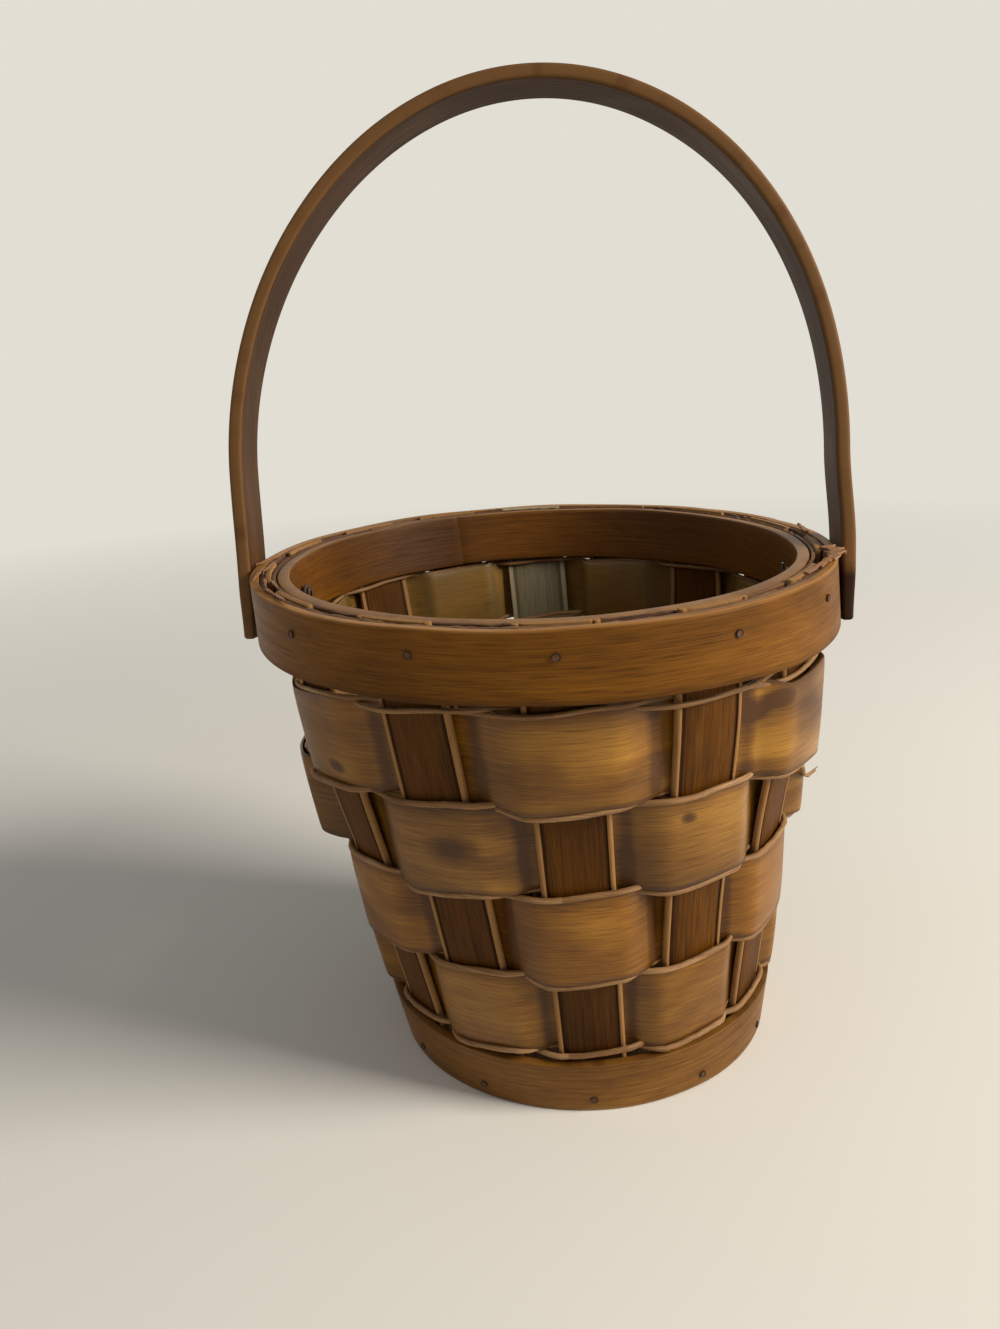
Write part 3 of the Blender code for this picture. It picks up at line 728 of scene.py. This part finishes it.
for row in range(ROWS):
    for back in (0, 1):
        stations = weaver_stations(row, back)
        half = stake_half_angle(twine_level(row + 0.5, FRONT_STAKE))
        start = stations[0][0] - half * WEAVER_TIP
        span = stations[-1][0] + half * WEAVER_TIP - start
        seed = row * 2 + back

        def weaver_edges(azimuth):
            side, _, _, slant = station_blend(stations, azimuth, half)
            through = 1.0 - side * side
            gap = STRAND / 2 - WEAVER_BITE
            high = twine_level(row, azimuth) - gap
            high -= twist_rise(row, azimuth) * (through - (1.0 - through) * slant)
            high += (TOP_TUCK if row == 0 else CROSS_TUCK) * through
            tuck = WEAVER_TUCK * max(backward(azimuth), 0.0)
            low = twine_level(row + 1, azimuth) + gap + WEAVER_REST * max(side, 0.0)
            low -= CROSS_TUCK * through
            low += STRAND_RISE * (through + (1.0 - through) * slant)
            low -= patch_dip(row + 1, azimuth) * max(side, 0.0)
            return low - tuck, high + tuck

        def weaver_form(along, across):
            azimuth = start + span * along / WEAVER_LENGTH
            low, high = weaver_edges(azimuth)
            low = low + EDGE_WAVE * ripple(azimuth * 0.12, 0, seed)
            high = high + EDGE_WAVE * ripple(azimuth * 0.12, 5, seed)
            share = across / WEAVER_WIDTH
            z = low + (high - low) * share
            side, layer, crown, _ = station_blend(stations, azimuth, half * 0.98)
            middle = (low + high) / 2
            lean = WEAVER_SLOPES[row]
            spare = (wall(azimuth, high) - wall(azimuth, middle)) - lean * (high - middle)
            reach = STAKE_THICK / 2 + WEAVER_THICK / 2 + WEAVER_PLAY + max(spare, 0.0)
            pillow = WEAVER_PILLOW * crown * side * sqrt(max(sin(pi * share), 0.0))
            radius = wall(azimuth, middle) + side * (reach + layer * (WEAVER_THICK + HOOP_FIT))
            radius += slack(row, azimuth, middle) * max(side, 0.0) + pillow + lean * (z - middle)
            radius += WEAVER_WAVE * ripple(azimuth * 0.06, share * 2, seed + 3)
            return place(azimuth, radius - WEAVER_THICK / 2, z)

        # Painted shade: darker where a patch slips behind a stake, in a shadow line beside it,
        # and along both edges by the strands.
        def weaver_dirt(along, across):
            azimuth = start + span * along / WEAVER_LENGTH
            side = station_blend(stations, azimuth, half)[0]
            beside = max(0.0, 1.0 - ((side + TUCK_LINE) / (1.0 - TUCK_LINE)) ** 2)
            tuck = TUCK_SHADE * (1.0 - side * side) + TUCK_LINE_SHADE * beside
            top = TOP_SHADE * near(WEAVER_WIDTH - across, TOP_SHADE_WIDTH)
            foot = FOOT_SHADE * near(across, FOOT_SHADE_WIDTH)
            return min(MOST_SHADE, tuck + top + foot)

        name = f"{row + 1}_{'back' if back else 'front'}"
        knots_and_highlights = [((azimuth - start) / span * WEAVER_LENGTH, z, size, depth)
                 for azimuth, z, size, depth in KNOTS_AND_HIGHLIGHTS.get((row, back), ())]
        finish = splint_finish(
            f"weaver_wood_{name}", weaver_shades[seed % len(weaver_shades)], worn=(176, 140, 88),
            inside=INSIDE_COOL_LIGHT, knots_and_highlights=knots_and_highlights, shift=seed * 0.61, streaks=0.55, clouds=1.5,
            roughness=0.36, gloss=0.25, varnish=0.12)
        weaver = bend_splint(
            f"woven_splint_{name}", WEAVER_LENGTH, WEAVER_STEPS,
            even_rows(WEAVER_WIDTH, WEAVER_ROWS), weaver_form, WEAVER_THICK, dirt=weaver_dirt,
            edge=0.00025, level_grain=True)
        hand_in(weaver, finish, "weavers", f"weaver_{name}")

# Rim packing
# Two thin strips of splint pack the rim on both sides of the stakes' ends, level with the
# tops of the hoops. The outer one ends at the right, where it has frayed and stands up.
FILLER_BAND = 0.0058
FILLER_TURN, FILLER_GAP = 358.5, 0.75  # degrees
FILLER_PLAY = 0.0002  # kept clear of the stakes
FILLER_ROUGH = 0.0005
FILLER_STEPS, FILLER_ROWS = 300, 4
OUTER_FILLER_THICK = 0.0015
INNER_FILLER_THICK = 0.0012
INNER_FILLER_SET = 0.0007  # thickness of the inner strip where the hoop presses it
OUTER_FILLER_END = 72.0
INNER_FILLER_END = 150.0
FRAY_DEGREES = 16.0
FRAY_LIFT = 0.0030
FRAY_SPREAD = 0.2  # share of its rise by which the frayed end leans out

filler_finish = splint_finish(
    "filler_wood", ((66, 42, 24), (106, 73, 44), (150, 110, 74)), worn=(156, 112, 78),
    shift=3.1, clouds=1.2)
outer_set = STAKE_THICK / 2 + FILLER_PLAY
inner_set = -outer_set - INNER_FILLER_THICK
for side, inner_face, end, lift, thick in (
        ("outer", outer_set, OUTER_FILLER_END, FRAY_LIFT, OUTER_FILLER_THICK),
        ("inner", inner_set, INNER_FILLER_END, 0.0, INNER_FILLER_THICK)):

    def filler_form(along, across):
        turn = along / (tau * WALL_TOP) * FILLER_TURN + FILLER_GAP
        fray = near(turn, FRAY_DEGREES)
        jag = 0.6 + 0.8 * ripple(turn * 1.7, 2, 9)
        z = RIM_TOP - FILLER_BAND + across
        z += lift * fray * jag * across / FILLER_BAND
        z += FILLER_ROUGH * ripple(turn * 0.9, 1, end) * across / FILLER_BAND
        radius = straight_wall(min(z, RIM_TOP)) + inner_face
        return place(end + turn, radius + fray * lift * FRAY_SPREAD, z)

    filler = bend_splint(
        f"packing_splint_{side}", tau * WALL_TOP, FILLER_STEPS,
        even_rows(FILLER_BAND, FILLER_ROWS), filler_form, thick, edge=0.0002, dirt=0.3,
        wear=lambda _, across: 0.4 * across / FILLER_BAND)
    hand_in(filler, filler_finish, "twine", f"rim_filler_{side}")

# Frayed ends
# Old split wood frays. The outer packing strip has burst beside the right leg, and its chips
# lie over the hoop. Slivers have lifted at the left, and a strand has snapped at the right.
CHIP_THICK = 0.0006
CHIP_POINT = 1.6  # how late a chip narrows to its point
CHIP_JAG, CHIP_CURL = 0.0004, 0.0002
CHIP_STEPS, CHIP_ROWS = 14, 3
SNAPPED_TIP = 0.3  # share of its thickness left at a snapped strand's end
# azimuth, radius, height above the rim, turn outward, tilt up, length and width
CHIPS = (
    (60, 0.0952, 0.0004, 3, 2, 0.0150, 0.0016),
    (66, 0.0962, 0.0004, 6, 3, 0.0130, 0.0022),
    (71, 0.0970, 0.0004, 16, 3, 0.0110, 0.0028),
    (74.5, 0.0972, 0.0005, 34, 2, 0.0074, 0.0034),
    (77, 0.0970, 0.0007, 58, 0, 0.0066, 0.0042),
    (80, 0.0968, 0.0009, 74, 1, 0.0056, 0.0042),
    (72, 0.0984, 0.0006, 22, 2, 0.0066, 0.0022),
    (81.5, 0.0952, 0.0008, 50, 3, 0.0058, 0.0030),
    (100, 0.0962, 0.0004, 8, 3, 0.0120, 0.0020),
    (-84, 0.0958, 0.0003, 2, 2, 0.0200, 0.0012),
    (-72, 0.0950, 0.0004, 2, 2.5, 0.0170, 0.0010),
    (-58, 0.0962, 0.0003, 4, 3, 0.0140, 0.0012),
    (-96, 0.0966, 0.0003, 3, 1.5, 0.0180, 0.0012),
    (-88, 0.0938, 0.0004, 1, 1.5, 0.0160, 0.0010),
    (-79, 0.0970, 0.0004, 4, 2, 0.0150, 0.0011),
    (-70, 0.0930, 0.0003, -2, 2, 0.0160, 0.0009),
    (-64, 0.0968, 0.0003, -3, 2, 0.0130, 0.0010),
)
# thickness, and then the azimuth, distance from the wall and height of each point
SNAPPED = {
    "snapped_strand": (STRAND, (
        (64.0, 0.0030, 0.1118), (70.0, 0.0035, 0.1086), (74.5, 0.0042, 0.1040),
        (78.0, 0.0052, 0.0996), (80.5, 0.0070, 0.0974), (83.0, 0.0096, 0.0980))),
    "snapped_fibre": (0.0009, (
        (79.5, 0.0060, 0.0980), (81.2, 0.0080, 0.0984), (82.6, 0.0100, 0.0998))),
}

for i, (azimuth, radius, above, outward, tilt, length, width) in enumerate(CHIPS):
    out = place(azimuth, 1.0, PIVOT_HEIGHT)
    tangent = place(azimuth + 90.0, 1.0, PIVOT_HEIGHT)
    out.z = tangent.z = 0.0
    heading = radians(outward)
    forward = tangent * cos(heading) + out * sin(heading)
    aside = out * cos(heading) - tangent * sin(heading)
    climb = tan(radians(tilt))

    def chip_form(along, across):
        left = 1.0 - (along / length) ** CHIP_POINT
        jag = CHIP_JAG * ripple(along * 900, across * 500, i)
        spot = place(azimuth, radius, RIM_TOP + above)
        spot += forward * along + aside * ((across - width / 2) * left + jag)
        spot.z += climb * along + CHIP_CURL * ripple(along * 300, 4, i)
        return spot

    chip = bend_splint(
        f"rim_chip_{i + 1:02d}", length, CHIP_STEPS, even_rows(width, CHIP_ROWS)[::-1],
        chip_form, CHIP_THICK, dirt=0.1, wear=0.7, edge=0.0001, segments=1)
    hand_in(chip, filler_finish, "twine")

for name, (thick, spots) in SNAPPED.items():
    snapped = lay_strand(name, [
        place(azimuth, wall(azimuth, z) + off, z) for azimuth, off, z in spots],
        thick, SNAPPED_TIP)
    hand_in(snapped, strand_finish, "twine")

# Inner rim hoop
# The thick strip inside the stakes' tops. Its top edge is well rounded by hands, and its
# inner face is orange-brown where the stain lies over clean wood.
INNER_THICK = 0.0040
INNER_BAND = 0.0200
INNER_SETBACK = 0.0008
INNER_LAP = 205.0


def inner_hoop_radius(z):
    """Lies against the stakes below and against the inner packing strip at its top."""
    low = RIM_TOP - INNER_BAND
    low_radius = straight_wall(low) - STAKE_THICK / 2 - HOOP_FIT
    top_radius = straight_wall(RIM_TOP) - STAKE_THICK / 2 - HOOP_FIT
    top_radius -= INNER_FILLER_SET + INNER_SETBACK
    return low_radius + (top_radius - low_radius) * (z - low) / INNER_BAND - INNER_THICK


inner_finish = splint_finish(
    "inner_hoop_wood", ((68, 38, 6), (102, 60, 9), (136, 86, 22)), worn=(150, 108, 60),
    shift=4.2, clouds=0.9, streaks=0.7, roughness=0.42)
inner_hoop = bend_hoop(
    "inner_rim_hoop", inner_hoop_radius, RIM_TOP - INNER_BAND, RIM_TOP, INNER_LAP, INNER_THICK,
    wave=0.0005, edge=0.0013, segments=4, dirt=0.2,
    wear=lambda _, across: 0.6 * near(BAND - across, BAND * 0.15))
hand_in(inner_hoop, inner_finish, "hoops", "rim_inner_hoop")

# Outer rim hoop
# The strip that clamps the stakes from outside, bent once round and lapped at the right
# back. Its face has long level streaks, its top edge is rubbed and its lower edge darker.
OUTER_THICK = 0.0030
OUTER_LAP = 118.0
RIM_FLARE = 0.0005
RIM_RADIUS = 0.1000
RIM_DARK_WIDTH = 0.0025
RIGHT_HANG = 0.0015  # the strip is this much wider at the front right
RIGHT_HANG_MIDDLE, RIGHT_HANG_SPREAD = 62.0, 32.0


def outer_hoop_radius(z):
    return RIM_RADIUS - OUTER_THICK + RIM_FLARE * (RIM_TOP - z) / BAND


outer_finish = splint_finish(
    "outer_hoop_wood", ((78, 46, 9), (114, 71, 15), (148, 98, 30)), worn=(160, 112, 58),
    shift=5.7, clouds=1.1, streaks=0.65, roughness=0.42, gloss=0.1)
outer_hoop = bend_hoop(
    "outer_rim_hoop", outer_hoop_radius, RIM_LOW, RIM_TOP, OUTER_LAP, OUTER_THICK,
    wave=0.0008, edge=0.0008, segments=3,
    hang=lambda azimuth: RIGHT_HANG * hump(RIGHT_HANG_MIDDLE, RIGHT_HANG_SPREAD, azimuth),
    dirt=lambda _, across: 0.1 + 0.5 * near(across, RIM_DARK_WIDTH),
    wear=lambda _, across: 0.7 * near(BAND - across, BAND * 0.1))
hand_in(outer_hoop, outer_finish, "hoops", "rim_outer_hoop")

# Tacks
# Small iron tacks, driven by hand a little off the middle of each stake: through the outer
# hoop at the rim and through the base hoop into the board. Their heads have sunk and rusted.
TACK_RADIUS = 0.00125
TACK_HEAD = 0.0006
TACK_SIDES = 24
TACK_RIM, TACK_DISH, TACK_DEPTH = 0.3, 0.2, 0.45  # shares of the radius and the thickness
TACK_PLAY = 0.0001
RIM_TACK_DROP = 0.0076
RIM_STRAYS = (2.0, 6.0, 4.5, -0.5, 1.7, 1.2, -2.0)
BASE_TACK_HEIGHT = 0.0052
BASE_STRAYS = (1.5, -2.0, -3.9, -0.8, 3.2, 4.9, -1.0)
LEG_CLEARANCE = 6.3  # degrees kept clear of tacks on each side of a leg

tack_finish, tack_start = new_finish("tack_iron")
tack_noise = tack_start.node("TexNoise", {
    "Vector": tack_start.spot(), "Scale": 2600.0, "Detail": 3.0})
tack_ring = tack_start.node("Attribute", attribute_name="from_middle", output="Fac")
tack_bare = tack_noise.above(0.3, 0.3) * (1.0 - tack_ring.above(0.55, 0.2))
set_finish(tack_finish, {
    "Base Color": tack_bare.mixed(colour(46, 28, 14), colour(104, 66, 34)),
    "Roughness": tack_noise * 0.4 + 0.45}, bump=tack_noise, bump_height=0.0001, Metallic=0.3)

select_only()
bpy.ops.mesh.primitive_cylinder_add(vertices=TACK_SIDES, radius=TACK_RADIUS, depth=TACK_HEAD)
tack_model = bpy.context.object
bpy.ops.object.mode_set(mode="EDIT")
bpy.ops.mesh.select_all(action="DESELECT")
bpy.ops.object.mode_set(mode="OBJECT")
for face in tack_model.data.polygons:
    face.select = face.normal.z > 0.9
bpy.ops.object.mode_set(mode="EDIT")
bpy.ops.mesh.inset(thickness=TACK_RADIUS * TACK_RIM)
bpy.ops.transform.translate(value=(0, 0, -TACK_HEAD * TACK_DEPTH))
bpy.ops.mesh.inset(thickness=TACK_RADIUS * TACK_DISH)
bpy.ops.object.mode_set(mode="OBJECT")
add_modifier(tack_model, "BEVEL", width=0.00014, segments=2, limit_method="ANGLE")
apply_modifiers(tack_model)
ring = tack_model.data.attributes.new("from_middle", "FLOAT", "POINT")
ring.data.foreach_set("value", [v.co.xy.length / TACK_RADIUS for v in tack_model.data.vertices])


def drive_tack(name, azimuth, z, surface):
    """Lay a copy of the tack against a face, turned to point along the radius."""
    tack = tack_model.copy()
    tack.data = tack_model.data.copy()
    tack.name = name
    bpy.context.scene.collection.objects.link(tack)
    out = Vector((rightward(azimuth), backward(azimuth), 0.0))
    turn = out.to_track_quat("Z", "Y").to_matrix().to_4x4()
    spot = place(azimuth, surface + TACK_HEAD / 2 + TACK_PLAY, z)
    tack.data.transform(Matrix.Translation(spot) @ turn)
    return tack


rim_tack_height = RIM_TOP - RIM_TACK_DROP
tack_count = 0
for i in range(STAKE_COUNT):
    azimuth = stake_azimuth(FIRST_STAKE + i) + RIM_STRAYS[i % len(RIM_STRAYS)]
    if min(abs(azimuth - 90.0), abs(azimuth - 270.0)) > LEG_CLEARANCE:
        tack_count += 1
        tack = drive_tack(
            f"rim_tack_head_{tack_count:02d}", azimuth, rim_tack_height,
            outer_hoop_radius(rim_tack_height) + OUTER_THICK)
        hand_in(tack, tack_finish, "tacks", f"rim_tack_{tack_count:02d}")
    azimuth = stake_azimuth(FIRST_STAKE + i) + BASE_STRAYS[i % len(BASE_STRAYS)]
    tack = drive_tack(
        f"base_tack_head_{i + 1:02d}", azimuth, BASE_TACK_HEIGHT,
        straight_wall(BASE_TACK_HEIGHT) + STAKE_THICK / 2 + HOOP_FIT + BASE_THICK)
    hand_in(tack, tack_finish, "tacks")
bpy.data.objects.remove(tack_model)

# Handle
# One thick splint steamed and bent to a bow, its legs outside the rim. Its faces kept their
# dark stain, and the two edges are rubbed pale and round where hands carry it.
HANDLE_THICK = 0.0047
HANDLE_WIDTH = 0.0218
HANDLE_SPAN = 0.1040  # from the middle of the basket to the middle of a leg
HANDLE_LEAN = 9.25
LEG_BELOW_PIVOT = 0.0145
BOW_START = 0.0434
BOW_RISE = 0.1243
BOW_PINCH = 0.0010
LEG_TAPER = 0.85  # share of the thickness left at the legs' ends
RIGHT_SET = -0.0005  # the right leg is pressed closer to the hoop
LEG_DRIFT = -0.0014  # the bow was bent by hand: its sides lie this far to the left
TOP_DRIFT = 0.0009  # and its top this far to the right
HANDLE_STEPS = 220
HANDLE_ROWS = 10
HANDLE_EDGE = 0.0012
HANDLE_WAVE = 0.0002
HANDLE_WORN = 0.0022  # width of the rubbed edges
LEG_SHADE_LENGTH = 0.012  # length of the right leg's end painted dark as shade below the rim, and of its fading
leg_length = LEG_BELOW_PIVOT + BOW_START
bow_half = HANDLE_SPAN - BOW_PINCH
bow_length = pi * sqrt((bow_half ** 2 + BOW_RISE ** 2) / 2)
handle_length = 2 * leg_length + bow_length


def handle_form(along, across):
    """The inner face of the bow, upright and then leant back about the pivots."""
    if along < leg_length or along > handle_length - leg_length:
        side = -1.0 if along < leg_length else 1.0
        run = along if side < 0 else handle_length - along
        z = run - LEG_BELOW_PIVOT
        bent = ease((z - HANDLE_WIDTH / 2) / (BOW_START - HANDLE_WIDTH / 2))
        drift = LEG_DRIFT * bent + (RIGHT_SET * (1.0 - bent) if side > 0 else 0.0)
        middle = Vector((side * (HANDLE_SPAN - BOW_PINCH * bent) + drift, 0.0, z))
        normal = Vector((side, 0.0, 0.0))
    else:
        turn = pi * (along - leg_length) / bow_length
        drift = LEG_DRIFT + (TOP_DRIFT - LEG_DRIFT) * ease(sin(turn))
        middle = Vector((
            drift - bow_half * cos(turn), 0.0, BOW_START + BOW_RISE * sin(turn)))
        normal = Vector((-cos(turn) / bow_half, 0.0, sin(turn) / BOW_RISE)).normalized()
    width = across - HANDLE_WIDTH / 2
    wave = HANDLE_WAVE * ripple(along * 22, across * 40, 2)
    spot = middle - normal * (HANDLE_THICK / 2 - wave) + Vector((0.0, width, 0.0))
    lean = Matrix.Rotation(-radians(HANDLE_LEAN), 4, "X")
    return lean @ spot + Vector((0.0, 0.0, PIVOT_HEIGHT))


def handle_share(along, across):
    run = min(along, handle_length - along)
    return LEG_TAPER + (1.0 - LEG_TAPER) * ease(run / (LEG_BELOW_PIVOT * 1.3))


def leg_end_shade(along):
    """1 at the right leg's end below the rim's top, where shade is painted on, 0 above it."""
    return 1.0 - ease((handle_length - along - LEG_SHADE_LENGTH) / LEG_SHADE_LENGTH)


def handle_wear(along, across):
    edge = near(min(across, HANDLE_WIDTH - across), HANDLE_WORN)
    return edge * (1.0 - 0.7 * leg_end_shade(along))


handle_finish = splint_finish(
    "handle_wood", ((46, 26, 8), (76, 46, 15), (106, 70, 30)), worn=(108, 75, 42),
    shift=6.3, clouds=0.8, roughness=0.5, gloss=0.12)
# The right leg's end below the rim is painted dark as shade.
handle = bend_splint(
    "swing_handle", handle_length, HANDLE_STEPS, even_rows(HANDLE_WIDTH, HANDLE_ROWS),
    handle_form, HANDLE_THICK, handle_share, edge=HANDLE_EDGE, segments=4, wear=handle_wear,
    dirt=lambda along, _: 0.2 + 0.8 * leg_end_shade(along))
hand_in(handle, handle_finish, "handle", "handle_bow", body="handle")

# Rivets and washers
# A soft iron rivet holds each leg: a low domed head outside, a shank through leg and rim, and
# a small washer inside with the rivet's end hammered over it. The right one's tail sticks up.
SHANK_RADIUS = 0.0015
HEAD_RADIUS = 0.0034
HEAD_THICK = 0.0012
CLINCH_RADIUS = 0.0026
CLINCH_THICK = 0.0009
WASHER_THICK = 0.0008
TAIL_RISE = 0.0055  # how far the right rivet's bent end sticks up
TAIL_THICK, TAIL_TIP, TAIL_STEPS = 0.0016, 0.5, 4
RIVET_SIDES = 40
RUSTED, BARE = 0.26, 0.44  # the noise below which the iron shows, left and right


def rusty_iron(name, bare):
    """The iron shows bare where the noise is below this level."""
    finish, start = new_finish(name)
    noise = start.node("TexNoise", {"Vector": start.spot(), "Scale": 900.0, "Detail": 5.0})
    rust = noise.above(bare, 0.16)
    set_finish(finish, {
        "Base Color": rust.mixed(colour(158, 152, 142), colour(66, 42, 24)),
        "Roughness": rust * 0.4 + 0.28, "Metallic": 1.0 - rust * 0.8},
        bump=noise, bump_height=0.00015)
    return finish


rivet_finishes = {
    "left": rusty_iron("rivet_rusted", RUSTED), "right": rusty_iron("rivet_iron", BARE)}


def rivet_part(name, radius, depth, distance, edge):
    """A round piece on the pivots' axis, its middle this far right of the basket's."""
    return turned_disc(
        name, radius, depth, (distance, 0.0, PIVOT_HEIGHT), RIVET_SIDES, edge, 4, turn=pi / 2)


for name, side in (("left", -1.0), ("right", 1.0)):
    low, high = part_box(f"rivet_{name}")
    outer = max(abs(low.x), abs(high.x)) + (RIGHT_SET if side > 0 else 0.0)
    inner = min(abs(low.x), abs(high.x))
    head = rivet_part(
        f"leg_rivet_{name}", HEAD_RADIUS, HEAD_THICK, side * (outer - HEAD_THICK / 2), 0.0007)
    shank = rivet_part(
        "shank", SHANK_RADIUS, outer - inner - HEAD_THICK / 2,
        side * ((outer + inner - HEAD_THICK / 2) / 2), 0.0002)
    clinch = rivet_part(
        "clinch", CLINCH_RADIUS, CLINCH_THICK, side * (inner + CLINCH_THICK / 2), 0.0004)
    parts = [head, shank, clinch]
    if side > 0:
        parts.append(lay_strand("clinched_tail", [
            Vector((inner + CLINCH_THICK * (0.5 - 0.2 * step), -0.0003 * step,
                    PIVOT_HEIGHT + TAIL_RISE * step / TAIL_STEPS))
            for step in range(TAIL_STEPS + 1)], TAIL_THICK, TAIL_TIP))
    select_only(*parts)
    bpy.ops.object.join()
    hand_in(head, rivet_finishes[name], "rivets", f"rivet_{name}")
    low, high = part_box(f"washer_{name}")
    inner = min(abs(low.x), abs(high.x))
    washer = rivet_part(
        f"rim_washer_{name}", (high.z - low.z) / 2, WASHER_THICK,
        side * (inner + WASHER_THICK / 2), 0.0002)
    hand_in(washer, rivet_finishes[name], "rivets", f"washer_{name}")

# Floor, lamps and camera
# A plain pale floor that fades into the background, a large soft lamp high on the right, a
# weaker one on the left and a pale world. The camera stands where the photograph was taken.
FLOOR_SIZE = 12.0
FADE_START, FADE_LENGTH = 0.30, 0.9
BACKDROP, NO_LIGHT = colour(226, 222, 212), colour(0, 0, 0)
AIM = (0.0, 0.0, 0.12)  # the lamps point at the middle of the basket
LAMPS = {  # place, power in watts, size and colour
    "key_lamp": ((1.65, -0.45, 1.05), 49.0, 0.8, (1.0, 0.95, 0.87)),
    "fill_lamp": ((-1.5, -0.9, 1.0), 2.0, 1.3, (0.93, 0.965, 1.0)),
}
WORLD_LIGHT = 0.27
CAMERA_PLACE = (0.01253, -0.39542, 0.26094)
CAMERA_DOWN, CAMERA_LEFT, CAMERA_ROLL = 17.31, 4.24, -2.98  # degrees
PHOTO_FOCUS, PHOTO_TALL = 1149.85, 1329  # focal length and height of the photograph in pixels


def background_rays(start):
    """1 for the rays that see the background: the camera's, and those off metal or glass."""
    camera_ray, glossy_ray, transmission_ray = [
        start.node("LightPath", output=f"Is {kind} Ray")
        for kind in ("Camera", "Glossy", "Transmission")]
    return (camera_ray + glossy_ray + transmission_ray).clamped()


select_only()
bpy.ops.mesh.primitive_plane_add(size=FLOOR_SIZE)
floor = bpy.context.object
floor.name = "floor"
floor_finish, floor_start = new_finish("floor_paper")
floor_spot = floor_start.spot()
floor_noise = floor_start.node("TexNoise", {"Vector": floor_spot, "Scale": 3.0, "Detail": 4.0})
away = floor_start.node("VectorMath", {0: floor_spot}, "Value", operation="LENGTH")
fade = away.above(FADE_START, FADE_LENGTH) * background_rays(floor_start)
paper = floor_noise.mixed(colour(230, 226, 216), colour(235, 231, 222))
set_finish(floor_finish, {
    "Base Color": fade.mixed(paper, NO_LIGHT),
    "Emission Color": fade.mixed(NO_LIGHT, BACKDROP)},
    Roughness=0.9, Emission_Strength=1.0, Specular_IOR_Level=0.0)
floor.data.materials.append(floor_finish)

for name, (spot, power, size, shade) in LAMPS.items():
    bpy.ops.object.light_add(type="AREA", location=spot)
    lamp = bpy.context.object
    lamp.name = name
    lamp.data.energy = power
    lamp.data.size = size
    lamp.data.color = shade
    aim = Vector(AIM) - Vector(spot)
    lamp.rotation_euler = aim.to_track_quat("-Z", "Y").to_euler()

world = bpy.data.worlds.new("studio")
bpy.context.scene.world = world
world.use_nodes = True
world_start = Tone(world.node_tree)
sky = background_rays(world_start).mixed((*[WORLD_LIGHT] * 3, 1.0), BACKDROP)
world.node_tree.links.new(sky.socket, world.node_tree.nodes["Background"].inputs["Color"])

bpy.ops.object.camera_add()
camera = bpy.context.object
camera.name = "photo_camera"
camera.data.lens = camera.data.sensor_width * PHOTO_FOCUS / PHOTO_TALL
camera.data.clip_start = 0.01
camera.matrix_world = (
    Matrix.Translation(CAMERA_PLACE)
    @ Matrix.Rotation(radians(CAMERA_LEFT), 4, "Z")
    @ Matrix.Rotation(radians(90.0 - CAMERA_DOWN), 4, "X")
    @ Matrix.Rotation(radians(CAMERA_ROLL), 4, "Z"))
bpy.context.scene.camera = camera
bpy.context.scene.view_settings.view_transform = "Standard"
